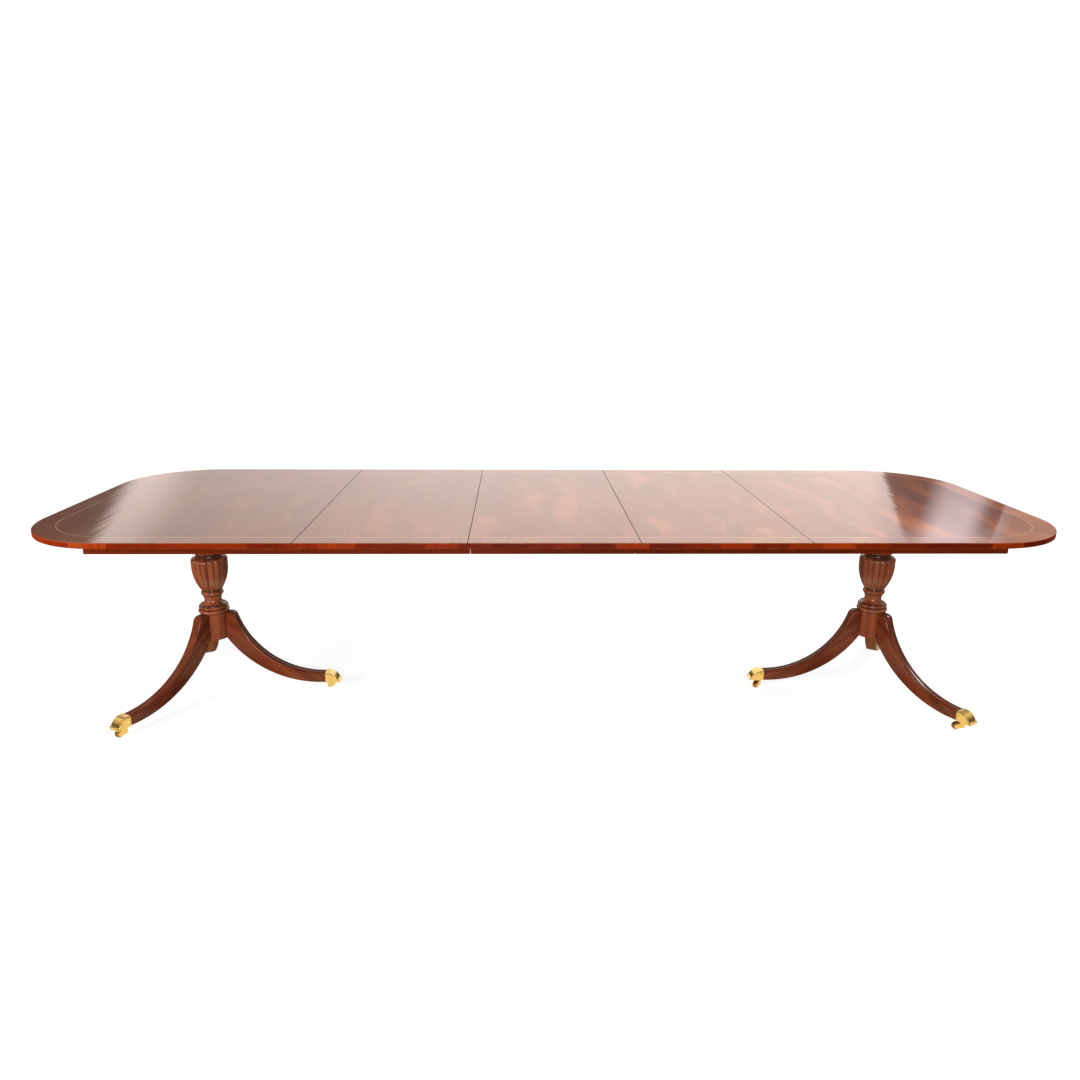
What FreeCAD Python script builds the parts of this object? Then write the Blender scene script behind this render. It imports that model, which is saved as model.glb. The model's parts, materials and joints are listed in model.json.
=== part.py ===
import FreeCAD, Part

import math
import os
from types import SimpleNamespace

import Sketcher
from FreeCAD import Placement, Rotation, Vector

# A double pedestal dining table, opened, with three leaves between its two end tops.
# Frame: +X along the table, +Y to the back, +Z up, origin on the floor under the middle of the top.
# Millimetres.

SIZES = {
    # Tops
    "table_height": 737.0,
    "table_width": 1168.0,
    "top_thickness": 19.0,
    "leaf_length": 514.0,
    "end_length": 874.0,
    "corner_radius": 308.0,
    "seam_gap": 0.6,
    "edge_rounding": 3.0,
    "seam_rounding": 0.8,
    # Aprons
    "apron_height": 53.0,
    "apron_thickness": 20.0,
    "apron_setback": 129.0,
    "apron_end_setback": 203.0,
    "apron_seam_gap": 1.0,
    "apron_softening": 2.5,
    "corner_block_leg": 50.0,
    "corner_block_height": 44.0,
    # Bearer block between column and top, and how far the column stands from the table's end
    "pedestal_setback": 410.0,
    "block_width": 280.0,
    "block_thickness": 45.0,
    "block_corner": 12.0,
    "block_screw_inset": 30.0,
    # Turned column, from its drum up to the block; its shank takes up what the other parts leave
    "column_rise": 361.0,
    "drum_height": 99.0,
    "drum_radius": 47.5,
    "lower_bead_height": 17.0,
    "bead_quirk": 2.0,
    "upper_bead_height": 10.0,
    "lower_bead_radius": 54.5,
    "upper_bead_radius": 52.0,
    "cove_foot_radius": 46.5,
    "cove_foot_step": 3.0,
    "cove_height": 22.0,
    "neck_height": 15.0,
    "neck_depth": 6.0,
    "ring_height": 14.0,
    "ring_radius": 39.5,
    "ring_bulge": 3.0,
    "urn_quirk_height": 7.0,
    "urn_quirk_radius": 33.5,
    "urn_height": 121.0,
    "urn_shoulder_drop": 33.0,
    "urn_foot_radius": 38.0,
    "urn_radius": 63.2,
    "urn_lip_rounding": 8.0,
    "urn_core_radius": 28.0,
    "cap_cove_height": 18.0,
    "cap_cove_depth": 7.0,
    "collar_radius": 52.0,
    "collar_height": 17.0,
    "shank_radius": 42.0,
    "shank_slope": 7.0,
    "flange_radius": 58.0,
    "flange_height": 18.0,
    "flange_slope": 15.0,
    "column_tenon_radius": 25.0,
    "tenon_end_gap": 5.0,
    "tenon_clearance": 0.1,
    # Sabre legs, measured from the column's axis
    "leg_width": 40.0,
    "leg_reach": 398.0,
    "leg_toe_run": 6.0,
    "leg_sole_run": 18.0,
    "leg_toe_height": 34.0,
    "leg_root_rise": 5.0,
    "leg_shoulder_reach": 59.0,
    "leg_shoulder_radius": 24.0,
    "leg_edge_rounding": 4.0,
    "reed_line_inset": 7.5,
    "reed_line_depth": 2.2,
    "reed_line_half_width": 1.6,
    "dovetail_length": 13.0,
    "dovetail_neck": 14.0,
    "dovetail_tip": 20.0,
    "dovetail_clearance": 0.1,
    "toe_tenon_length": 26.0,
    "toe_tenon_shoulder": 4.0,
    "toe_tenon_rise": 11.0,
    "toe_tenon_drop": 7.0,
    # Plate under the drum
    "plate_inset": 3.5,
    "plate_thickness": 3.0,
    "plate_screw_radius": 27.0,
    # Toe caps, a little proud of the legs that they end
    "cap_proud": 1.0,
    "cap_crown": 2.0,
    "cap_base": 1.0,
    "cap_length": 52.0,
    "cap_flat": 8.0,
    "cap_lip_height": 10.0,
    "cap_lip_depth": 5.0,
    "cap_rounding": 0.8,
    "cap_line_inset": 1.2,
    "cap_line_width": 1.2,
    "cap_line_depth": 0.8,
    "cap_screw_inset": 7.0,
    "cap_screw_radius": 1.3,
    "cap_screw_length": 9.0,
    "cap_screw_head_radius": 3.0,
    "cap_screw_head_height": 1.4,
    # Casters, with the kingpin measured from the leg's end
    "kingpin_inset": 13.0,
    "kingpin_radius": 3.0,
    "kingpin_length": 9.0,
    "kingpin_end_gap": 1.0,
    "running_clearance": 0.05,
    "caster_trail": 22.0,
    "fork_gap": 0.5,
    "fork_back": 7.0,
    "fork_heel_height": 24.0,
    "fork_bridge": 7.0,
    "fork_cheek": 2.5,
    "fork_eye_radius": 8.5,
    "fork_back_rounding": 4.0,
    "wheel_radius": 13.0,
    "wheel_width": 14.0,
    "wheel_gap": 5.0,
    "wheel_rounding": 2.5,
    "wheel_side_gap": 0.3,
    "axle_radius": 2.0,
    "axle_proud": 0.5,
    # Extension slides
    "slide_spacing": 500.0,
    "slide_length": 1250.0,
    "slide_thickness": 28.0,
    "slide_height": 46.0,
    "slide_gap": 0.4,
    "slide_relief": 0.3,
    "slide_end_gap": 9.0,
    "slide_land_gap": 5.0,
    "slide_screw_inset": 90.0,
    "tongue_length": 8.0,
    "tongue_neck": 8.0,
    "tongue_tip": 12.0,
    "tongue_clearance": 0.4,
    # Wood screws, all alike
    "screw_radius": 2.25,
    "screw_length": 32.0,
    "screw_head_radius": 4.5,
    "screw_head_height": 3.0,
    "screw_bite": 12.0,
    "screw_end_gap": 1.0,
    "screw_clearance": 0.05,
    "counterbore_clearance": 0.5,
    # How far a cut runs past what it cuts
    "overrun": 5.0,
}

LEAF_COUNT = 3
LEG_COUNT = 3
REED_COUNT = 16
HALF_TURN = 180.0
FULL_TURN = 360.0
# Legs of the right pedestal, by angle about its column, counted from +X.
LEG_ANGLES = (180.0, 60.0, 300.0)
# Where each caster's wheel trails at rest, as an angle from +X.
TRAIL_ANGLES = {
    "left_front": 240.0,
    "left_inner": 80.0,
    "left_back": 150.0,
    "right_front": 180.0,
    "right_inner": 230.0,
    "right_back": 20.0,
}
# Heights of the reeded urn's sections as shares of its height, and how deep its grooves are there
# as shares of the radius.
URN_SECTION_SHARES = (0.0, 0.08, 0.18, 0.30, 0.44, 0.58, 0.72, 0.84, 0.92)
REED_DEPTH_SHARE = 0.075
LIP_SHARES = (0.35, 0.7, 0.92, 1.0)


class Size:
    """A size in the sheet or a formula of sizes: its number, and the expression that gives it."""

    def __init__(self, value, text):
        self.value = value
        self.text = text

    def __add__(self, other):
        other = as_size(other)
        return Size(self.value + other.value, f"({self.text} + {other.text})")

    def __sub__(self, other):
        other = as_size(other)
        return Size(self.value - other.value, f"({self.text} - {other.text})")

    def __mul__(self, other):
        other = as_size(other)
        return Size(self.value * other.value, f"({self.text} * {other.text})")

    def __truediv__(self, other):
        other = as_size(other)
        return Size(self.value / other.value, f"({self.text} / {other.text})")

    def __neg__(self):
        return self * -1

    def root(self):
        """The square root."""
        return Size(math.sqrt(self.value), f"sqrt({self.text})")


def as_size(number):
    """Wrap a plain zero, count or share so that it can join a formula."""
    if isinstance(number, Size):
        return number
    return Size(number, f"({number})")


doc = FreeCAD.newDocument("DiningTable")
sheet = doc.addObject("Spreadsheet::Sheet", "Sizes")
for row, (alias, value) in enumerate(SIZES.items(), start=1):
    sheet.set(f"A{row}", alias)
    sheet.set(f"B{row}", str(value))
    sheet.setAlias(f"B{row}", alias)
doc.recompute()
D = SimpleNamespace(**{alias: Size(value, f"Sizes.{alias}") for alias, value in SIZES.items()})
parts = []

# Places that several pieces share, all from the sheet
underside = D.table_height - D.top_thickness
half_width = D.table_width / 2
seam_x = D.leaf_length * LEAF_COUNT / 2
end_x = seam_x + D.end_length
pedestal_x = end_x - D.pedestal_setback
apron_face_y = half_width - D.apron_setback
apron_inner_y = apron_face_y - D.apron_thickness
apron_end_x = end_x - D.apron_end_setback
block_bottom = underside - D.block_thickness
drum_top = block_bottom - D.column_rise
drum_bottom = drum_top - D.drum_height
lower_bead_top = drum_top + D.lower_bead_height
upper_bead_bottom = lower_bead_top + D.bead_quirk
upper_bead_top = upper_bead_bottom + D.upper_bead_height
cove_bottom = upper_bead_top + D.cove_foot_step
neck_z = cove_bottom + D.cove_height
ring_bottom = neck_z + D.neck_height
ring_top = ring_bottom + D.ring_height
urn_bottom = ring_top + D.urn_quirk_height
urn_top = urn_bottom + D.urn_height
cap_sole = D.wheel_radius * 2 + D.wheel_gap
cap_tip = D.leg_reach + D.cap_length
cap_width = D.leg_width + D.cap_proud * 2
fork_top = cap_sole - D.fork_gap
kingpin_reach = D.leg_reach + D.kingpin_inset
leg_sole = cap_sole + D.cap_base
leg_toe_top = leg_sole + D.leg_toe_height
leg_root = drum_bottom + D.leg_root_rise
leg_seat = (D.drum_radius * D.drum_radius - D.leg_width * D.leg_width / 4).root()
toe_tenon_bottom = leg_sole + D.toe_tenon_rise
toe_tenon_height = D.leg_toe_height - D.toe_tenon_rise - D.toe_tenon_drop
toe_tenon_width = D.leg_width - D.toe_tenon_shoulder * 2
cap_screw_x = D.leg_reach + D.cap_screw_inset
cap_screw_z = toe_tenon_bottom + toe_tenon_height / 2
screw_shank = D.screw_length - D.screw_head_height
screw_hole_radius = D.screw_radius + D.screw_clearance
counterbore_radius = D.screw_head_radius + D.counterbore_clearance
slide_pitch = D.slide_thickness + D.slide_gap
slide_end = apron_end_x - D.apron_thickness - D.slide_end_gap
slide_screws_x = (seam_x + D.slide_screw_inset, slide_end - D.slide_screw_inset)

# The upper arc of a leg, which runs level at the toe and meets the arc of the shoulder smoothly
shoulder_z = drum_top - D.leg_shoulder_radius
shoulder_rise = shoulder_z - leg_toe_top
leg_arc_x = D.leg_reach - D.leg_toe_run
leg_arc_run = leg_arc_x - D.leg_shoulder_reach
leg_arc_radius = leg_arc_run * leg_arc_run + shoulder_rise * shoulder_rise
leg_arc_radius = leg_arc_radius - D.leg_shoulder_radius * D.leg_shoulder_radius
leg_arc_radius = leg_arc_radius / ((shoulder_rise + D.leg_shoulder_radius) * 2)
leg_arc_z = leg_toe_top + leg_arc_radius


def place(item, base, turn=0.0):
    """Turn an object about +Z and tie its base point to the sheet."""
    base = [as_size(size) for size in base]
    item.Placement = Placement(Vector(*(size.value for size in base)), Rotation(Vector(0, 0, 1), turn))
    for axis, size in zip("xyz", base):
        item.setExpression(f"Placement.Base.{axis}", size.text)


def turned(x, y, turn):
    """A point turned about +Z by a half turn or not at all."""
    x, y = as_size(x), as_size(y)
    return (x, y) if turn == 0 else (-x, -y)


def new_body(label, base=(0, 0, 0), turn=0.0):
    """A body in its place."""
    body = doc.addObject("PartDesign::Body", label)
    body.Label = label
    place(body, base, turn)
    return body


def new_sketch(body, plane, shift=0):
    """A sketch on one of the body's own origin planes, moved along the plane's normal."""
    sketch = body.newObject("Sketcher::SketchObject", f"{body.Name}_outline")
    support = next(item for item in body.Origin.OriginFeatures if item.Role == plane)
    sketch.AttachmentSupport = [(support, "")]
    sketch.MapMode = "FlatFace"
    sketch.setExpression("AttachmentOffset.Base.z", as_size(shift).text)
    return sketch


def bind(sketch, kind, *where):
    """Add a dimension whose value is the last argument's expression."""
    *where, size = where
    size = as_size(size)
    index = sketch.addConstraint(Sketcher.Constraint(kind, *where, size.value))
    sketch.setExpression(f"Constraints[{index}]", size.text)


def pin_point(sketch, geometry, end, x, y):
    """Tie one point of the sketch to a place measured from the sketch's origin."""
    bind(sketch, "DistanceX", -1, 1, geometry, end, x)
    bind(sketch, "DistanceY", -1, 1, geometry, end, y)


class Bend:
    """A round stretch from one corner to the next, by one coordinate of its centre."""

    def __init__(self, turn, centre_x=None, centre_y=None):
        self.turn = turn
        self.centre_x = centre_x
        self.centre_y = centre_y

    def centre(self, start, end):
        """The centre's place, on the line that halves the chord."""
        middle = (start + end) / 2
        normal = Vector(start.y - end.y, end.x - start.x, 0)
        if self.centre_x is not None:
            return middle + normal * ((self.centre_x.value - middle.x) / normal.x)
        return middle + normal * ((self.centre_y.value - middle.y) / normal.y)


def draw_loop(sketch, corners):
    """Draw a closed outline. A corner is (x, y), or (x, y, bend) where a round stretch follows it."""
    corners = [(as_size(x), as_size(y), *bend) for x, y, *bend in corners]
    spots = [Vector(x.value, y.value, 0) for x, y, *bend in corners]
    stretches = []
    for index, (x, y, *bend) in enumerate(corners):
        start, end = spots[index], spots[(index + 1) % len(spots)]
        if not bend:
            geometry = sketch.addGeometry(Part.LineSegment(start, end))
            stretches.append((geometry, 1, 2))
            continue
        centre = bend[0].centre(start, end)
        circle = Part.Circle(centre, Vector(0, 0, 1), (start - centre).Length)
        angles = [math.atan2(spot.y - centre.y, spot.x - centre.x) for spot in (start, end)]
        if bend[0].turn < 0:
            angles.reverse()
        geometry = sketch.addGeometry(Part.ArcOfCircle(circle, *angles))
        stretches.append((geometry, 1, 2) if bend[0].turn > 0 else (geometry, 2, 1))
    for index, (geometry, first, last) in enumerate(stretches):
        following, begin, _ = stretches[(index + 1) % len(stretches)]
        sketch.addConstraint(Sketcher.Constraint("Coincident", geometry, last, following, begin))
    for (x, y, *bend), (geometry, first, last) in zip(corners, stretches):
        pin_point(sketch, geometry, first, x, y)
        if bend and bend[0].centre_x is not None:
            bind(sketch, "DistanceX", -1, 1, geometry, 3, bend[0].centre_x)
        elif bend:
            bind(sketch, "DistanceY", -1, 1, geometry, 3, bend[0].centre_y)


def draw_circle(sketch, x, y, radius):
    """Draw a circle tied to the sheet by its centre and radius."""
    x, y = as_size(x), as_size(y)
    circle = Part.Circle(Vector(x.value, y.value, 0), Vector(0, 0, 1), radius.value)
    geometry = sketch.addGeometry(circle)
    pin_point(sketch, geometry, 3, x, y)
    bind(sketch, "Radius", geometry, radius)


def box_loop(x_low, y_low, x_high, y_high):
    """The corners of a rectangle, counter-clockwise."""
    return [(x_low, y_low), (x_high, y_low), (x_high, y_high), (x_low, y_high)]


def pad(body, sketch, length, both_ways=False, downward=False):
    """Raise a sketch into a solid."""
    feature = body.newObject("PartDesign::Pad", f"{body.Name}_pad")
    feature.Profile = sketch
    feature.setExpression("Length", length.text)
    feature.SideType = "Symmetric" if both_ways else "One side"
    feature.Reversed = downward
    doc.recompute()
    return feature


def cut(body, sketch, length, both_ways=False, along_normal=False):
    """Cut a sketch into the body, and make sure that it met material."""
    before = body.Shape.Volume
    feature = body.newObject("PartDesign::Pocket", f"{body.Name}_pocket")
    feature.Profile = sketch
    feature.setExpression("Length", length.text)
    feature.SideType = "Symmetric" if both_ways else "One side"
    feature.Reversed = along_normal
    doc.recompute()
    if body.Shape.Volume >= before:
        raise RuntimeError(f"a cut in {body.Label} met no material")
    return feature


def revolve(body, sketch, axis):
    """Turn a sketch about one of its own axes."""
    feature = body.newObject("PartDesign::Revolution", f"{body.Name}_turning")
    feature.Profile = sketch
    feature.ReferenceAxis = (sketch, [axis])
    feature.Angle = FULL_TURN
    doc.recompute()
    return feature


def round_edges(body, radius, chosen):
    """Round the edges of the body's last feature that a test picks."""
    base = body.Tip
    names = [f"Edge{index}" for index, edge in enumerate(base.Shape.Edges, start=1) if chosen(edge)]
    if not names:
        raise RuntimeError(f"no edge to round on {body.Label}")
    feature = body.newObject("PartDesign::Fillet", f"{body.Name}_rounding")
    feature.Base = (base, names)
    feature.setExpression("Radius", radius.text)
    doc.recompute()


def near(value, size):
    """Whether a measured coordinate is that size."""
    return math.isclose(value, as_size(size).value, abs_tol=Part.Precision.approximation())


def runs_level(edge, *heights):
    """Whether an edge lies at one of these heights."""
    return any(near(edge.BoundBox.ZMin, height) and near(edge.BoundBox.ZMax, height) for height in heights)


def list_part(item):
    """List an object as a piece that gets a file of its own."""
    parts.append(item)
    return item


def group(label, items):
    """One piece made of several separate solids."""
    compound = doc.addObject("Part::Compound", label)
    compound.Label = label
    compound.Links = items
    return list_part(compound)


def copies(label, pattern, places):
    """One piece made of the same solid in several places, each (place, rotation)."""
    doc.recompute()
    solids = []
    for spot, rotation in places:
        solid = pattern.Shape.copy()
        solid.Placement = Placement(spot, rotation)
        solids.append(solid)
    feature = doc.addObject("Part::Feature", label)
    feature.Label = label
    feature.Shape = Part.makeCompound(solids)
    return list_part(feature)


def make_leaf(label, middle_x):
    """A leaf's panel, with softened long edges and seams."""
    body = list_part(new_body(f"{label}_panel", (middle_x, 0, underside)))
    reach = (D.leaf_length - D.seam_gap) / 2
    sketch = new_sketch(body, "XY_Plane")
    draw_loop(sketch, box_loop(-reach, -half_width, reach, half_width))
    pad(body, sketch, D.top_thickness)
    round_edges(body, D.edge_rounding, lambda edge: near(abs(edge.CenterOfMass.y), half_width)
                and runs_level(edge, 0, D.top_thickness))
    round_edges(body, D.seam_rounding, lambda edge: near(abs(edge.CenterOfMass.x), reach)
                and runs_level(edge, D.top_thickness))


def make_end_top(label, turn):
    """An end top with two large round corners, and screw holes in its underside."""
    body = list_part(new_body(label, (0, 0, underside), turn))
    inner_x = seam_x + D.seam_gap / 2
    corner_x = end_x - D.corner_radius
    corner_y = half_width - D.corner_radius
    sketch = new_sketch(body, "XY_Plane")
    draw_loop(sketch, [
        (inner_x, -half_width),
        (corner_x, -half_width, Bend(1, centre_x=corner_x)),
        (end_x, -corner_y),
        (end_x, corner_y, Bend(1, centre_x=corner_x)),
        (corner_x, half_width),
        (inner_x, half_width),
    ])
    pad(body, sketch, D.top_thickness)
    round_edges(body, D.edge_rounding, lambda edge: runs_level(edge, 0, D.top_thickness)
                and not near(edge.BoundBox.XMax, inner_x))
    round_edges(body, D.seam_rounding, lambda edge: runs_level(edge, D.top_thickness)
                and near(edge.BoundBox.XMax, inner_x))
    holes = new_sketch(body, "XY_Plane")
    for x, y in top_screws():
        draw_circle(holes, x, y, screw_hole_radius)
    cut(body, holes, D.screw_bite + D.screw_end_gap, along_normal=True)


def top_screws():
    """Places of the screws that go up into a right end top: block corners, then slide rails."""
    reach = D.block_width / 2 - D.block_screw_inset
    corners = [(pedestal_x + reach * x, reach * y) for x in (-1, 1) for y in (-1, 1)]
    rails = [(x, rail_y) for rail_y in slide_rail_places() for x in slide_screws_x]
    return corners + rails


def slide_rail_places():
    """How far to the back the right half's two slide rails lie."""
    return [D.slide_spacing * side / 2 + slide_pitch for side in (-1, 1)]


def make_rail(label, length, base, turn):
    """An apron rail that starts at its base point and runs along its own +X, with soft lower edges."""
    body = list_part(new_body(label, base, turn))
    half = D.apron_thickness / 2
    soft = D.apron_softening
    bottom = -D.apron_height
    sketch = new_sketch(body, "YZ_Plane")
    draw_loop(sketch, [
        (half, 0),
        (-half, 0),
        (-half, bottom + soft, Bend(1, centre_x=soft - half)),
        (soft - half, bottom),
        (half - soft, bottom, Bend(1, centre_x=half - soft)),
        (half, bottom + soft),
    ])
    pad(body, sketch, length)


def make_end_aprons(side, turn):
    """The three apron rails under an end top, with glue blocks in their two corners."""
    start_x = seam_x + D.apron_seam_gap
    middle_y = apron_face_y - D.apron_thickness / 2
    for y, name in ((-middle_y, "front"), (middle_y, "back")):
        name = name if turn == 0 else {"front": "back", "back": "front"}[name]
        make_rail(f"{side}_{name}_apron", apron_end_x - start_x, (*turned(start_x, y, turn), underside), turn)
    middle_x = apron_end_x - D.apron_thickness / 2
    base = (*turned(middle_x, -apron_inner_y, turn), underside)
    make_rail(f"{side}_end_apron", apron_inner_y * 2, base, turn + HALF_TURN / 2)
    corner_x = apron_end_x - D.apron_thickness
    leg = D.corner_block_leg
    blocks = []
    for y_sign in (-1, 1):
        block = new_body(f"{side}_corner_block_{len(blocks)}", (0, 0, underside), turn)
        sketch = new_sketch(block, "XY_Plane")
        corner_y = apron_inner_y * y_sign
        draw_loop(sketch, [(corner_x, corner_y), (corner_x - leg, corner_y), (corner_x, corner_y - leg * y_sign)])
        pad(block, sketch, D.corner_block_height, downward=True)
        blocks.append(block)
    group(f"{side}_corner_blocks", blocks)


def make_bearer_block(label, turn):
    """The square block between column and end top, bored for the column's tenon."""
    body = list_part(new_body(label, (*turned(pedestal_x, 0, turn), underside), turn))
    half = D.block_width / 2
    inner = half - D.block_corner
    sketch = new_sketch(body, "XY_Plane")
    draw_loop(sketch, [
        (-inner, -half),
        (inner, -half, Bend(1, centre_x=inner)),
        (half, -inner),
        (half, inner, Bend(1, centre_x=inner)),
        (inner, half),
        (-inner, half, Bend(1, centre_x=-inner)),
        (-half, inner),
        (-half, -inner, Bend(1, centre_x=-inner)),
    ])
    pad(body, sketch, D.block_thickness, downward=True)
    bore = new_sketch(body, "XY_Plane")
    draw_circle(bore, 0, 0, D.column_tenon_radius + D.tenon_clearance)
    cut(body, bore, D.block_thickness)
    screw_stops(body, [(half - D.block_screw_inset) * sign for sign in (-1, 1)],
                [(half - D.block_screw_inset) * sign for sign in (-1, 1)], D.block_thickness)


def screw_stops(body, xs, ys, thickness):
    """Through holes with counterbores from below, for screws whose points go up into the top."""
    places = [(x, y) for x in xs for y in ys]
    holes = new_sketch(body, "XY_Plane")
    for x, y in places:
        draw_circle(holes, x, y, screw_hole_radius)
    cut(body, holes, thickness)
    bores = new_sketch(body, "XY_Plane", -thickness)
    for x, y in places:
        draw_circle(bores, x, y, counterbore_radius)
    cut(body, bores, thickness - screw_shank + D.screw_bite, along_normal=True)


def make_turning(label, turn):
    """The plain turned outline of a column, with its drum's leg sockets and screw holes."""
    body = new_body(label, (*turned(pedestal_x, 0, turn), 0), turn)
    lower_bead_foot = D.lower_bead_radius - D.lower_bead_height / 2
    upper_bead_foot = D.upper_bead_radius - D.upper_bead_height / 2
    ring_foot = D.ring_radius - D.ring_bulge
    ring_bend = (D.ring_height * D.ring_height / 4 + D.ring_bulge * D.ring_bulge) / (D.ring_bulge * 2)
    cap_cove_top = urn_top + D.cap_cove_height
    cap_cove_bend = (D.cap_cove_height * D.cap_cove_height / 4 + D.cap_cove_depth * D.cap_cove_depth)
    cap_cove_bend = cap_cove_bend / (D.cap_cove_depth * 2)
    collar_top = cap_cove_top + D.collar_height
    flange_bottom = block_bottom - D.flange_height
    tenon_top = underside - D.tenon_end_gap
    sketch = new_sketch(body, "XZ_Plane")
    draw_loop(sketch, [
        (0, drum_bottom),
        (D.drum_radius, drum_bottom),
        (D.drum_radius, drum_top),
        (lower_bead_foot, drum_top, Bend(1, centre_x=lower_bead_foot)),
        (lower_bead_foot, lower_bead_top),
        (lower_bead_foot, upper_bead_bottom),
        (upper_bead_foot, upper_bead_bottom, Bend(1, centre_x=upper_bead_foot)),
        (upper_bead_foot, upper_bead_top),
        (D.cove_foot_radius, upper_bead_top),
        (D.cove_foot_radius, cove_bottom, Bend(-1, centre_x=D.cove_foot_radius)),
        (ring_foot - D.neck_depth, neck_z, Bend(-1, centre_y=neck_z)),
        (ring_foot, ring_bottom, Bend(1, centre_x=D.ring_radius - ring_bend)),
        (ring_foot, ring_top),
        (D.urn_quirk_radius, ring_top),
        (D.urn_quirk_radius, urn_bottom),
        (D.urn_core_radius, urn_bottom),
        (D.urn_core_radius, urn_top),
        (D.collar_radius, urn_top, Bend(-1, centre_x=D.collar_radius - D.cap_cove_depth + cap_cove_bend)),
        (D.collar_radius, cap_cove_top),
        (D.collar_radius, collar_top),
        (D.shank_radius, collar_top + D.shank_slope),
        (D.shank_radius, flange_bottom - D.flange_slope),
        (D.flange_radius, flange_bottom),
        (D.flange_radius, block_bottom),
        (D.column_tenon_radius, block_bottom),
        (D.column_tenon_radius, tenon_top),
        (0, tenon_top),
    ])
    revolve(body, sketch, "V_Axis")
    cut_leg_sockets(body)
    holes = new_sketch(body, "XY_Plane", drum_bottom)
    for x, y in plate_screws():
        draw_circle(holes, x, y, screw_hole_radius)
    cut(body, holes, screw_shank - D.plate_thickness + D.screw_end_gap, along_normal=True)
    return body


def cut_leg_sockets(body):
    """Cut a flat seat and an open-ended dovetail into the drum for each leg."""
    half = D.leg_width / 2
    clear = D.dovetail_clearance
    neck = D.dovetail_neck / 2 + clear
    tip = D.dovetail_tip / 2 + clear
    depth = leg_seat - D.dovetail_length - clear
    outside = D.drum_radius + D.overrun
    sketch = new_sketch(body, "XY_Plane", drum_bottom)
    draw_loop(sketch, [
        (-outside, -half),
        (-leg_seat, -half),
        (-leg_seat, -neck),
        (-depth, -tip),
        (-depth, tip),
        (-leg_seat, neck),
        (-leg_seat, half),
        (-outside, half),
    ])
    socket = cut(body, sketch, D.drum_height, along_normal=True)
    before = body.Shape.Volume
    pattern = body.newObject("PartDesign::PolarPattern", f"{body.Name}_sockets")
    pattern.Originals = [socket]
    pattern.Axis = (sketch, ["N_Axis"])
    pattern.Angle = FULL_TURN
    pattern.Occurrences = LEG_COUNT
    body.Tip = pattern
    doc.recompute()
    if body.Shape.Volume >= before:
        raise RuntimeError("the leg sockets were not repeated")


def plate_screws():
    """Places of the plate's screws about the column's axis, midway between the legs."""
    places = []
    for angle in LEG_ANGLES:
        middle = math.radians(angle + FULL_TURN / LEG_COUNT / 2)
        places.append((D.plate_screw_radius * math.cos(middle), D.plate_screw_radius * math.sin(middle)))
    return places


def urn_section(height, radius):
    """A closed ring of round reeds at one height, with a sharp groove between each two."""
    groove = radius * (1 - REED_DEPTH_SHARE)
    step = 2 * math.pi / REED_COUNT

    def spot(reach, angle):
        return Vector(reach * math.cos(angle), reach * math.sin(angle), height)

    reeds = []
    for reed in range(REED_COUNT):
        middle = reed * step
        arc = Part.Arc(spot(groove, middle - step / 2), spot(radius, middle), spot(groove, middle + step / 2))
        reeds.append(arc.toShape())
    return Part.Wire(reeds)


def reeded_urn():
    """The urn: round reeds that swell from its foot to its widest part and turn in at its lip."""
    bottom, top = urn_bottom.value, urn_top.value
    foot, widest = D.urn_foot_radius.value, D.urn_radius.value
    widest_height = top - D.urn_shoulder_drop.value
    rise = widest_height - bottom
    swell = widest - foot
    bend = (rise * rise + swell * swell) / (2 * swell)
    lip = D.urn_lip_rounding.value

    def swelling(height):
        below = min(height - widest_height, 0)
        return widest - bend + math.sqrt(bend * bend - below * below)

    sections = []
    for share in URN_SECTION_SHARES:
        height = bottom + (top - lip - bottom) * share
        sections.append(urn_section(height, swelling(height)))
    for share in LIP_SHARES:
        turn_in = lip * (1 - math.sqrt(1 - share * share))
        sections.append(urn_section(top - lip + lip * share, widest - turn_in))
    return Part.makeLoft(sections, True, False)


def make_column(side, turn):
    """A column: its turned parts, and the reeded urn round its core."""
    turning = make_turning(f"{side}_turning", turn)
    urn = doc.addObject("Part::Feature", f"{side}_urn")
    urn.Shape = reeded_urn()
    place(urn, (*turned(pedestal_x, 0, turn), 0), turn)
    column = doc.addObject("Part::Fuse", f"{side}_column")
    column.Label = f"{side}_column"
    column.Base = turning
    column.Tool = urn
    doc.recompute()
    list_part(column)


def make_hub_plate(label, turn):
    """The round plate under a drum, over the open ends of its leg sockets."""
    body = list_part(new_body(label, (*turned(pedestal_x, 0, turn), drum_bottom), turn))
    sketch = new_sketch(body, "XY_Plane")
    draw_circle(sketch, 0, 0, leg_seat - D.plate_inset)
    pad(body, sketch, D.plate_thickness, downward=True)
    holes = new_sketch(body, "XY_Plane")
    for x, y in plate_screws():
        draw_circle(holes, x, y, screw_hole_radius)
    cut(body, holes, D.plate_thickness)


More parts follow.
